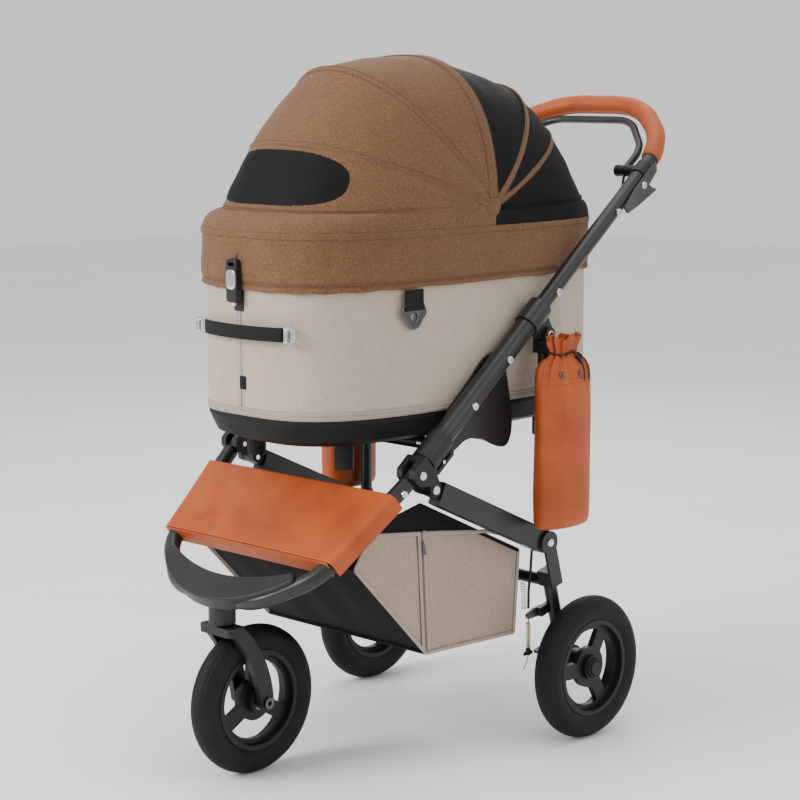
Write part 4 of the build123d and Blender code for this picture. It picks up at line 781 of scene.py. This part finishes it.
# Ring plates: a rounded triangle with a round eye, point down
for side, tag in SIDES:
    hinge = joint_mm(f"d_ring_{tag}_swing")
    ring_low, ring_high = node_mm(f"d_ring_{tag}")
    turn = np.linspace(0, 2 * np.pi, 120, endpoint=False)
    half, drop = (ring_high[1] - ring_low[1]) / 2 + 8, hinge[2] - ring_low[2] + 8
    lobe = (1 + 0.16 * np.cos(3 * (turn + np.pi / 2))) / 1.16
    outer_y = half * 1.12 * lobe * np.cos(turn)
    outer_z = hinge[2] - 0.36 * drop + 0.66 * drop * lobe * np.sin(turn)
    outer_z = np.minimum(outer_z, hinge[2] + 2)
    eye_y, eye_z = 7.0 * np.cos(turn), hinge[2] - 0.42 * drop + 7.0 * np.sin(turn)
    loop = []
    for share, lift in ((0, 0.0), (0.06, 1.1), (0.3, 1.3), (0.7, 1.3), (0.94, 1.3), (1, 0.0), (0.94, -1.3),
                        (0.5, -1.3),
                        (0.06, -1.1)):
        loop.append(xyz(hinge[0] + side * (1.2 + lift), hinge[1] + outer_y * (1 - share) + eye_y * share,
                        outer_z * (1 - share) + eye_z * share))
    plate = surface(f"ring_plate_{tag}", np.array(loop).transpose(1, 0, 2), GUNMETAL, f"d_ring_{tag}",
                    close_u=True,
                    close_v=True, flip=side < 0)
    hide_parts(f"d_ring_{tag}")

# Front buckle: press stud, plain metal plate and a short cord
buckle_low, buckle_high = node_mm("front_buckle")
bx = (buckle_low[0] + buckle_high[0]) / 2
plate_y = buckle_low[1]
plate_profile = np.linspace(0, 2 * np.pi, 48, endpoint=False)
levels_plate = []
for r, dy in ((0.0, -1.3), (0.5, -1.35), (0.9, -1.2), (1.0, -0.7), (1.0, 0.4)):
    levels_plate.append(xyz(bx + r * 10.5 * sgn_pow(np.cos(plate_profile), 0.6), plate_y + dy,
                            774 + r * 15 * sgn_pow(np.sin(plate_profile), 0.6)))
surface("buckle_plate", np.array(levels_plate).transpose(1, 0, 2), CHROME, "cot", close_u=True, flip=True)
revolve("buckle_stud", ((0, 2.4), (2.4, 2.2), (3.9, 1.2), (4.4, 0), (4.4, -1)),
        (bx, buckle_low[1] + 5.6, 737), (0, -1, 0),
        CHROME, "cot", 32)
a = np.linspace(0, 1, 30)
cord_tail = xyz(bx + 10 + 6 * a, plate_y + 3 - 3 * np.sin(2 * a), 800 + 14 * a)
tube("buckle_cord", cord_tail, 1.1, CABLE, "cot", 8)

# ---------------------------------------------------------------- leather pieces

LOOP_R = 13.0


def loop_x(t):
    """Half width of the front loop's side tubes at t."""
    return 174.0 + (204.0 - 174.0) * (t + 218.0) / 198.0


cover_t = np.linspace(-57, -199, 60)
around = np.linspace(-1, 1, 220)
rows = []
for t in cover_t:
    half = loop_x(t) + LOOP_R + 2.6
    flat_share = 0.86
    row = []
    for q in around:
        k = abs(q)
        if k < flat_share:
            x = half * k / flat_share * 0.955
            h = 15.4 + 0.9 * np.cos(k / flat_share * np.pi / 2)
        else:
            bend = (k - flat_share) / (1 - flat_share)
            if bend < 0.5:
                turn = bend / 0.5 * np.pi / 2
                x = half * 0.955 + half * 0.045 * np.sin(turn)
                h = 15.4 - 9 * (1 - np.cos(turn))
            else:
                x = half
                h = 6.4 - 19.0 * (bend - 0.5) / 0.5
        row.append(on_frame(t, h, np.sign(q) * x))
    rows.append(row)
cover_grid = np.array(rows)
uu, ww = np.meshgrid(np.linspace(0, 1, 60), around, indexing="ij")
sag = np.sin(np.pi * uu) * (0.7 * np.sin(9 * ww + 4 * uu) * (1 - ww ** 4) - 1.6 * (1 - ww ** 2))
cover_grid = cover_grid + sag[..., None] * SQUARE
cover = surface("leather_cover", cover_grid, LEATHER, "front_frame", thick=2.4, flip=True)
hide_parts("front_cover")
lip_rows = []
for s in np.linspace(0, 1, 14):
    turn = s * np.pi * 0.5
    t, h = -199 - 2.5 * np.sin(turn), 15.6 - 26 * s ** 1.2
    lip_rows.append([on_frame(t, h + 0.9 * np.cos(x / 190 * np.pi / 2), x)
                     for x in np.linspace(-loop_x(-199) - 9, loop_x(-199) + 9, 120)])
surface("leather_cover_lip", np.array(lip_rows), LEATHER, "front_frame", thick=2.2, flip=True)
for k, t in enumerate((-61.5, -195.0)):
    reach = loop_x(t) - 2
    line = np.array([on_frame(t, 16.6 + 0.8 * np.cos(x / 210 * np.pi / 2), x)
                     for x in np.linspace(-reach, reach, 120)])
    stitches(f"cover_thread{k}", line, TAN_THREAD, "front_frame", SQUARE, 5.0, radius=0.5)

# Grip: leather wound round the handle's arch, laced underneath
HANDLE_HALF = [(204.0, 300.0), (204.0, 770.0), (95.0, 871.0)]
HANDLE_PATH = HANDLE_HALF + [(-x, t) for x, t in HANDLE_HALF[::-1]]


def rounded(points, bend, step=4.0):
    """Polyline in (x, t) with its corners replaced by arcs of one radius."""
    out = [np.array(points[0], float)]
    for a, b, c in zip(points, points[1:], points[2:]):
        a, b, c = (np.array(p, float) for p in (a, b, c))
        u, v = unit(a - b), unit(c - b)
        half = math.acos(float(np.clip(u @ v, -1, 1))) / 2
        reach = bend / math.tan(half)
        centre = b + (u + v) / np.linalg.norm(u + v) * bend / math.sin(half)
        p, q = b + u * reach - centre, b + v * reach - centre
        a0, a1 = math.atan2(p[1], p[0]), math.atan2(q[1], q[0])
        sweep = (a1 - a0 + math.pi) % (2 * math.pi) - math.pi
        for s in np.linspace(0, 1, max(6, int(abs(sweep) * bend / step))):
            out.append(centre + bend * np.array([math.cos(a0 + sweep * s), math.sin(a0 + sweep * s)]))
    out.append(np.array(points[-1], float))
    pts = np.array(out)
    gone = np.concatenate([[0], np.cumsum(np.linalg.norm(np.diff(pts, axis=0), axis=1))])
    even = np.linspace(0, gone[-1], int(gone[-1] / step))
    return np.stack([np.interp(even, gone, pts[:, k]) for k in range(2)], 1)


handle_line = rounded(HANDLE_PATH, 150.0, 3.0)
grip_line = np.array([on_frame(t, 0, x) for x, t in handle_line if t > 727.5])
along = np.linspace(0, 1, len(grip_line))
grip_r = 16.0 + 0.25 * np.sin(60 * along) + 0.2 * np.sin(23 * along + 1)
grip_r[:3] = (14.6, 15.6, 16.0)
grip_r[-3:] = (16.0, 15.6, 14.6)
grip = tube("leather_grip", grip_line, grip_r, LEATHER, "frame", 44)
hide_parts("handle_grip")
for tag, line in (("right", grip_line[:4]), ("left", grip_line[-4:])):
    tube(f"grip_ring_{tag}", line, 14.2, CABLE, "frame", 32)
inward = np.cross(SQUARE, unit(np.diff(grip_line, axis=0)))
middle = np.mean(grip_line, axis=0) - ALONG * 60
inward = inward * np.sign(np.sum(inward * (middle - grip_line[:-1]), axis=1, keepdims=True))
under = inward * 0.75 - SQUARE * 0.66
under = unit(under)
tube("grip_join", grip_line[4:-5] + under[4:-4] * 15.9, 1.5, LEATHER, "frame", 8, squash=0.6,
     up=under[4:-4])
for k, turn in enumerate((-0.16, 0.16)):
    across = np.cross(under, np.gradient(grip_line[:-1], axis=0) / 3.0)
    side_dir = under * math.cos(turn) + across * math.sin(turn)
    side_dir = unit(side_dir)
    stitches(f"grip_thread{k}", grip_line[4:-5] + side_dir[4:-4] * 16.1, TAN_THREAD, "frame",
             side_dir[4:-4], 5.0)

# Bottle bags: a pleated sleeve cinched with a cord below a ruffled mouth
bag_low, bag_high = node_mm("bottle_bags")
bag_centre = np.array([bag_high[0] - 28.0, (bag_low[1] + bag_high[1]) / 2])
BAG_LOW = bag_low[2]


def bag_profile(z):
    """Half sizes across and along at height z: rounded base, straight body, shoulders, neck and mouth."""
    zs = (BAG_LOW, BAG_LOW + 3, BAG_LOW + 12, BAG_LOW + 60, 540, 600, 618, 630, 637, 642, 650, 660, 668)
    ax = (20, 24.5, 27.5, 28.2, 28.6, 28.2, 26.5, 20, 12, 9, 10, 12.5, 14)
    ay = (50, 55.5, 58.5, 59.5, 58.5, 56.5, 53.5, 43, 31, 26, 28, 33, 35)
    return np.interp(z, zs, ax), np.interp(z, zs, ay)


def bag_wall(z, angle, side):
    """Outline of a bag at height z: the profile with soft folds, and pleats that deepen towards the neck."""
    ra, rb = bag_profile(z)
    pleats = np.clip((z - 560) / 70, 0, 1) ** 1.5
    flutes = np.sin(11 * angle + 1.2 * np.sin(2 * angle)) + 0.5 * np.sin(19 * angle + 2)
    folds = (np.sin(2 * angle + 0.018 * z) + 0.7 * np.sin(5 * angle - 0.02 * z + 1)
             + 0.5 * np.sin(8 * angle + 0.01 * z + side))
    r = (1 + 0.016 * folds * np.sin(np.pi * np.clip((z - BAG_LOW) / 250, 0, 1))
         + 0.11 * pleats * flutes * np.clip(1.3 - ra / 40, 0.3, 1))
    return (side * bag_centre[0] + ra * r * sgn_pow(np.cos(angle), 0.9),
            bag_centre[1] + rb * r * sgn_pow(np.sin(angle), 0.85))


for side, tag in SIDES:
    zz = np.concatenate([np.linspace(BAG_LOW, BAG_LOW + 14, 10), np.linspace(BAG_LOW + 20, 600, 54),
                         np.linspace(603, 668, 40)])
    th = np.linspace(0, 2 * np.pi, 200, endpoint=False)
    tt, hh = np.meshgrid(th, zz, indexing="ij")
    x, y = bag_wall(hh, tt, side)
    lean = np.clip((hh - 640) / 28, 0, 1)
    z = hh + 4 * lean * np.sin(5 * tt + 0.6) + 2.5 * lean * np.sin(9 * tt)
    bag = surface(f"leather_bag_{tag}", xyz(x, y, z), LEATHER, "frame", close_u=True, thick=2.0)
    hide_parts("bottle_bags")
    base_rows = []
    for share in (1.0, 0.7, 0.35, 0.02):
        base_rows.append(xyz(side * bag_centre[0] + 20 * share * sgn_pow(np.cos(th), 0.9),
                             bag_centre[1] + 50 * share * sgn_pow(np.sin(th), 0.85),
                             BAG_LOW + 0.3 - 1.5 * (1 - share)))
    surface(f"leather_bag_base_{tag}", np.array(base_rows).transpose(1, 0, 2), LEATHER, "frame",
            close_u=True)
    for k, z_row in enumerate((596.0, 604.0)):
        line = np.stack([*bag_wall(z_row, th, side), np.full(200, z_row)], -1)
        out = line - [side * bag_centre[0], bag_centre[1], z_row]
        out = unit(out)
        stitches(f"bag_thread{k}_{tag}", line + out * 0.4, TAN_THREAD, "frame", out, 4.5)
    neck = xyz(side * bag_centre[0] + 10.6 * np.cos(th), bag_centre[1] + 28.5 * np.sin(th),
               642 + 2.0 * np.sin(3 * th))
    tube(f"bag_cord_{tag}", neck[::4], 1.9, CABLE, "frame", 8, closed=True)
    for k, dy in enumerate((-30, 6)):
        ra, rb = bag_profile(612.0)
        px = side * (bag_centre[0] + ra * math.sqrt(max(0.0, 1 - (dy / rb) ** 2)) + 0.5)
        revolve(f"bag_eyelet{k}_{tag}", ((1.6, 0.8), (2.6, 1.6), (4.2, 1.3), (4.9, 0.2), (4.9, -0.6)),
                (px, bag_centre[1] + dy, 612), (side, 0, 0.25), GUNMETAL, "frame", 28)
    q = np.linspace(0, 1, 24)
    for k, dy in enumerate((16, 27)):
        tail = xyz(side * (bag_centre[0] + 12 + 20 * np.sin(q * 1.9)), bag_centre[1] + dy - 6 + 6 * q,
                   642 - 42 * q ** 1.4)
        tube(f"bag_cord_tail{k}_{tag}", tail, 1.3, CABLE, "frame", 8)

# ---------------------------------------------------------------- storage basket

BX = node_mm("storage_basket")[1][0]
AY = AXLE[1]
SIDE_POINTS = np.array([(AY - 92, 316.0), (AY - 322, 424.0), (AY - 420, 402.0), (AY - 462, 344.0),
                        (AY - 308, 186.0), (AY - 102, 181.0)])
(back_top, ridge, nose_top, nose_low, front_foot, back_foot) = SIDE_POINTS


def patch(corners, nu, nv, push, direction):
    """Bilinear patch of four corners, pushed along a direction by push(u, v)."""
    u, v = np.meshgrid(np.linspace(0, 1, nu), np.linspace(0, 1, nv), indexing="ij")
    a, b, c, d = (np.array(p, float) for p in corners)
    grid = (a * (1 - u)[..., None] * (1 - v)[..., None] + b * u[..., None] * (1 - v)[..., None]
            + c * u[..., None] * v[..., None] + d * (1 - u)[..., None] * v[..., None])
    return grid + push(u, v)[..., None] * np.asarray(direction, float)


def at(x, p):
    return (x, p[0], p[1])


basket_pieces = []
# the sides are pale below this line of Y and Z and black above it
SPLIT = np.array([(AY - 480, 394.0), (AY - 418, 390.0), (AY - 298, 376.0), (AY - 167, 359.0),
                  (AY - 60, 330.0)])


def above_split(centres):
    return centres[:, 2] > np.interp(centres[:, 1], SPLIT[:, 0], SPLIT[:, 1])


for side, tag in SIDES:
    def bow_out(u, v):
        bell = np.sin(np.pi * u) * np.sin(np.pi * v)
        return 2.2 * bell + 1.6 * np.sin(7 * u + 3 * v) * bell + 1.0 * np.sin(15 * v - 5 * u) * bell - 1.0
    rear_grid_side = patch((at(side * BX, back_foot), at(side * BX, front_foot), at(side * BX, ridge),
                            at(side * BX, back_top)), 70, 60, bow_out, (side, 0, 0))
    basket_pieces.append(surface(f"basket_side_{tag}", rear_grid_side, [BASKET, LINING], "frame", thick=1.4,
                                 flip=side > 0, pick=above_split))
    front_grid_side = patch((at(side * BX, front_foot), at(side * BX, nose_low), at(side * BX, nose_top),
                             at(side * BX, ridge)), 60, 40, bow_out, (side, 0, 0))
    basket_pieces.append(surface(f"basket_front_side_{tag}", front_grid_side, [BASKET, LINING], "frame",
                                 thick=1.4,
                                 flip=side > 0, pick=above_split))
    split_line = xyz(side * (BX + 1.4), np.linspace(AY - 428, AY - 132, 60),
                     np.interp(np.linspace(AY - 428, AY - 132, 60), SPLIT[:, 0], SPLIT[:, 1]))
    tube(f"basket_split_{tag}", split_line, 3.4, HEM, "frame", 8, squash=0.4, up=(side, 0, 0))
    outline = [front_foot, nose_low, nose_top, ridge, back_top, back_foot, front_foot]
    for k, (p, q) in enumerate(zip(outline[:-1], outline[1:])):
        line = np.linspace(at(side * (BX + 0.6), p), at(side * (BX + 0.6), q), 24)
        tube(f"basket_binding{k}_{tag}", line, 3.2, LINING if k in (2, 3) else HEM, "frame", 8, squash=0.55,
             up=(side, 0, 0))
    # zip on the seam between the two side panels
    zip_top = ridge + (front_foot - ridge) * (ridge[1] - 382) / (ridge[1] - front_foot[1])
    zip_line = np.linspace(at(side * (BX + 1.6), front_foot + [0, 4]), at(side * (BX + 1.6), zip_top), 60)
    tube(f"zip_tape_{tag}", zip_line, 9.0, HEM, "frame", 8, squash=0.12, up=(side, 0, 0))
    tube(f"zip_teeth_{tag}", zip_line + [side * 0.8, 0, 0], 2.4 + 0.5 * (np.arange(60) % 2), ZIP, "frame",
         8,
         squash=0.4, up=(side, 0, 0))
    head = zip_line[-6]
    pull = xyz(head[0] + side * 3, np.linspace(head[1], head[1] + 3, 10), head[2] - np.linspace(0, 20, 10))
    tube(f"zip_pull_{tag}", pull, np.interp(np.linspace(0, 1, 10), (0, 0.2, 1), (2.5, 2.2, 4.0)), GUNMETAL,
         "frame",
         10, squash=0.4, up=(side, 0, 0))
    for k, dy in enumerate((-7.5, 7.5)):
        stitches(f"zip_thread{k}_{tag}", zip_line + [side * 0.4, dy, 0], PALE_THREAD, "frame",
                 (side, 0, 0), 5.0)


def sagging(u, v):
    """Loose cloth: a bell-shaped sag with long folds running down."""
    bell = np.sin(np.pi * u) * np.sin(np.pi * v)
    folds = np.sin(9 * u + 2 * v) + 0.6 * np.sin(17 * u - 3 * v + 1) + 0.5 * np.sin(27 * u + 5 * v)
    return 3.0 * bell + 2.2 * folds * bell ** 0.7 - 3.5


width = (BX - 1, -BX + 1)
slope = np.array([0, front_foot[1] - nose_low[1], -(front_foot[0] - nose_low[0])])
slope = unit(slope)
walls = {
    "basket_front": ((at(width[0], front_foot), at(width[1], front_foot), at(width[1], nose_low),
                      at(width[0], nose_low)), slope),
    "basket_nose": ((at(width[0], nose_low), at(width[1], nose_low), at(width[1], nose_top),
                     at(width[0], nose_top)), (0, -1, 0.3)),
    "basket_floor": ((at(width[0], back_foot), at(width[1], back_foot), at(width[1], front_foot),
                      at(width[0], front_foot)), (0, 0, -1)),
    "basket_back": ((at(width[0], back_top), at(width[1], back_top), at(width[1], back_foot),
                     at(width[0], back_foot)), (0, 1, 0)),
}
for name, (corners, direction) in walls.items():
    grid = patch(corners, 110, 50, sagging, direction)
    basket_pieces.append(surface(name, grid, LINING, "frame", thick=1.4))
for piece in basket_pieces:
    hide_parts("storage_basket")
for name, p in (("basket_rim_front", nose_top), ("basket_rim_back", back_top),
                ("basket_hem_front", front_foot),
                ("basket_hem_back", back_foot), ("basket_hem_nose", nose_low)):
    line = np.linspace(at(width[0], p), at(width[1], p), 40)
    tube(name, line, 2.8, LINING, "frame", 8)

# ---------------------------------------------------------------- tyres

TYRE_R, WHEEL_R = 22.3, 117.6


def tyre_piece(name, centre, body, replaced):
    """Torus from one rim edge over the crown to the other, cut with ribs, sipes and shoulder bars."""
    nu, nv = 648, 72
    a = np.linspace(0, 2 * np.pi, nu, endpoint=False)
    edge = math.acos(-(WHEEL_R - TYRE_R - 79.7) / TYRE_R)
    b = np.linspace(-edge, edge, nv)
    aa, bb = np.meshgrid(a, b, indexing="ij")
    across = TYRE_R * bb
    round_ = aa * 108 / (2 * np.pi)
    ribs = np.exp(-((np.abs(across) - 4.2) / 0.75) ** 2) + np.exp(-((np.abs(across) - 12.6) / 0.8) ** 2)
    lean = np.abs(across) * 0.11
    wedge = ((round_ + lean) % 1.0)
    sipe = np.exp(-((wedge - 0.5) / 0.13) ** 2) * (np.abs(across) > 4.6) * (np.abs(across) < 12.2)
    wave = ((round_ * 0.5 - lean) % 1.0)
    bars = np.exp(-((wave - 0.5) / 0.1) ** 2) * (np.abs(across) > 13.2) * (np.abs(across) < 21.5)
    centre_cut = np.exp(-(((round_ * 1.0 + 0.25 * np.sign(across)) % 1.0
                           - 0.5) / 0.09) ** 2) * (np.abs(across) < 3.6)
    ring_line = np.exp(-((np.abs(across) - 30) / 0.5) ** 2) + np.exp(-((np.abs(across) - 41) / 0.6) ** 2)
    depth = 1.0 * np.clip(ribs + sipe + bars + 0.7 * centre_cut, 0, 1) - 0.35 * ring_line
    r = TYRE_R + 0.35 - depth
    radius = WHEEL_R - TYRE_R + r * np.cos(bb)
    grid = xyz(centre[0] + r * np.sin(bb), centre[1] + radius * np.cos(aa), centre[2] + radius * np.sin(aa))
    grid[..., 2] = np.maximum(grid[..., 2], 0.05)
    obj = surface(name, grid, RUBBER, body, close_u=True, flip=True)
    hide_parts(replaced)
    # moulded ring where the wall meets the rim
    for k, side in enumerate((-1, 1)):
        line = xyz(centre[0] + side * TYRE_R * math.sin(edge) * 0.985,
                   centre[1] + 80.2 * np.cos(np.linspace(0, 2 * np.pi, 120, endpoint=False)),
                   centre[2] + 80.2 * np.sin(np.linspace(0, 2 * np.pi, 120, endpoint=False)))
        tube(f"{name}.bead{k}", line, 1.1, RUBBER, body, 8, closed=True)


tyre_piece("front_tread", joint_mm("front_wheel_spin"), "front_wheel", "front_tyre")
for tag in ("left", "right"):
    tyre_piece(f"rear_tread_{tag}", joint_mm(f"rear_wheel_{tag}_spin"), f"rear_wheel_{tag}",
               f"rear_tyre_{tag}")

# ---------------------------------------------------------------- small hardware


def coil(name, top, bottom, radius, wire, turns, material, body):
    """Helix of wire: angle grows evenly, with closed end turns."""
    q = np.linspace(0, 1, int(turns * 22))
    top, bottom = np.array(top, float), np.array(bottom, float)
    axis = unit(bottom - top)
    first = np.cross(axis, (0.2, 0.9, 0.1))
    first = unit(first)
    second = np.cross(axis, first)
    rise = np.interp(q, (0, 0.08, 0.92, 1), (0, 0.03, 0.97, 1))
    angle = 2 * np.pi * turns * q
    path = top + rise[:, None] * (bottom - top) + radius * (np.cos(angle)[:, None] * first
                                                          + np.sin(angle)[:, None] * second)
    return tube(name, path, wire, material, body, 8)


spring_low, spring_high = node_mm("brake_springs")
spring_x = spring_high[0] - 4.5
spring_y = (spring_low[1] + spring_high[1]) / 2
for side, tag in SIDES:
    top = (side * spring_x, spring_y, spring_high[2] + 8)
    bottom = (side * spring_x, spring_y, spring_low[2])
    spring = coil(f"return_spring_{tag}", (top[0], top[1], spring_high[2]), bottom, 3.7, 0.75, 13, BRASS,
                  "rear_frame")
    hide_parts("brake_springs")
    coil(f"pull_spring_{tag}", (side * (spring_x - 1), spring_y - 13, 262),
         (side * (spring_x - 1), spring_y - 11, 218), 3.4,
         0.8, 12, CHROME, "rear_frame")
    rod = np.linspace(top, (bottom[0], bottom[1], bottom[2] - 14), 12)
    tube(f"adjuster_rod_{tag}", rod, 1.3, STEEL, "rear_frame", 10)
    revolve(f"adjuster_nut_{tag}", ((0, 6), (3.4, 6), (4.2, 5), (4.2, -5), (3.4, -6), (0, -6)),
            (bottom[0], bottom[1], bottom[2] - 8), (0, 0, 1), MOULDED, "rear_frame", 16)
    dy = np.linspace(-11, 11, 16)
    wing = xyz(bottom[0], bottom[1] + dy, bottom[2] - 8 - np.abs(dy) * 0.35)
    wing_r = np.interp(dy / 11, (-1, -0.6, 0, 0.6, 1), (2.2, 4, 1.8, 4, 2.2))
    tube(f"adjuster_wing_{tag}", wing, wing_r, MOULDED, "rear_frame", 10, squash=0.4, up=(side, 0, 0))
    q = np.linspace(0, 1, 16)
    wire_tail = xyz(bottom[0], bottom[1] - 10 * q ** 1.5, bottom[2] - 14 - 22 * q)
    tube(f"inner_wire_{tag}", wire_tail, 0.9, STEEL, "rear_frame", 8)

    # latch pin in each collar's slot, and a screw on each side of the front loop
    pin_at = on_frame(52, -24.6, side * 204.0)
    revolve(f"latch_pin_{tag}", ((0, 12.2), (2.6, 12.0), (3.4, 11.2), (3.4, 0)), pin_at, (side, 0, 0),
            CHROME,
            "lock_collars", 24)
    screw_at = on_frame(-40, 0, side * (loop_x(-40) + LOOP_R - 0.4))
    revolve(f"loop_screw_{tag}", ((0, 1.6), (2.2, 1.6), (2.6, 3.4), (4.6, 3.4), (5.6, 2.6), (5.8, 0)),
            screw_at,
            (side, 0, 0), CHROME, "front_frame", 28)
    cap_at = joint_mm(f"rear_wheel_{tag}_spin") + [side * 22.0, 0, 0]
    revolve(f"axle_cap_ring_{tag}", ((13.2, 0.2), (13.8, 1.0), (15.0, 1.0), (15.6, 0.2)),
            cap_at - [side * 3.6, 0, 0], (side, 0, 0),
            RIM, f"rear_wheel_{tag}", 40)

# ---------------------------------------------------------------- floor, light and camera

GROUND = nodes_of("pale_floor")
GROUND[2].inputs["Base Color"].default_value = (0.9, 0.9, 0.9, 1)
GROUND[2].inputs["Roughness"].default_value = 0.9
floor_tone = noise_at(GROUND[1], GROUND[3], 3, (1, 1, 1), 2)
GROUND[1].links.new(ramp_of(GROUND[1], floor_tone, ((0.3, (0.9, 0.9, 0.9)), (0.7, (0.93, 0.93, 0.93)))),
                    GROUND[2].inputs["Base Color"])
grid = np.stack(np.meshgrid(np.linspace(-9000, 9000, 3), np.linspace(-9000, 9000, 3), indexing="ij")
                + [np.zeros((3, 3))], -1)
floor_mesh = bpy.data.meshes.new("floor")
floor_mesh.from_pydata((grid.reshape(-1, 3) * MM).tolist(), [],
                       [tuple(int(i) for i in f) for f in grid_faces(3, 3)])
floor_mesh.materials.append(GROUND[0])
floor = bpy.data.objects.new("floor", floor_mesh)
bpy.context.scene.collection.objects.link(floor)

world = bpy.data.worlds.new("studio")
bpy.context.scene.world = world
world.use_nodes = True
sky = world.node_tree
sky.nodes["Background"].inputs["Strength"].default_value = 0.9
sky.nodes["Background"].inputs["Color"].default_value = (1.0, 1.0, 1.0, 1)


def lamp(name, place, target, size, power):
    data = bpy.data.lights.new(name, "AREA")
    data.shape = "RECTANGLE"
    data.size = size[0]
    data.size_y = size[1]
    data.energy = power
    obj = bpy.data.objects.new(name, data)
    bpy.context.scene.collection.objects.link(obj)
    obj.location = place
    way = np.array(target) - np.array(place)
    yaw = math.atan2(way[1], way[0])
    pitch = math.acos(way[2] / np.linalg.norm(way))
    obj.rotation_euler = (math.pi - pitch, 0, yaw + math.pi / 2 + math.pi)
    return obj


lamp("key", (-1.0, -3.2, 2.2), (0, 0, 0.5), (1.6, 1.6), 125)
lamp("side", (3.2, 0.4, 2.2), (0, 0, 0.5), (2.2, 2.2), 22)
lamp("top", (0, 0.2, 3.4), (0, 0, 0.6), (2.5, 2.5), 45)
lamp("back", (-2.0, 2.6, 2.2), (0, 0, 0.8), (1.5, 1.5), 25)

camera_data = bpy.data.cameras.new("camera")
camera_data.lens = 96.2
camera_data.sensor_width = 36.0
camera_data.clip_start = 0.1
camera_data.clip_end = 60
camera = bpy.data.objects.new("camera", camera_data)
bpy.context.scene.collection.objects.link(camera)
eye = np.array([2435.8, -2642.3 + AXLE[1], 1076.6]) * MM
azimuth, elevation = math.radians(44.7), math.radians(8.6)
camera.location = eye
camera.rotation_euler = (math.pi / 2 - elevation, 0, azimuth)
bpy.context.scene.camera = camera
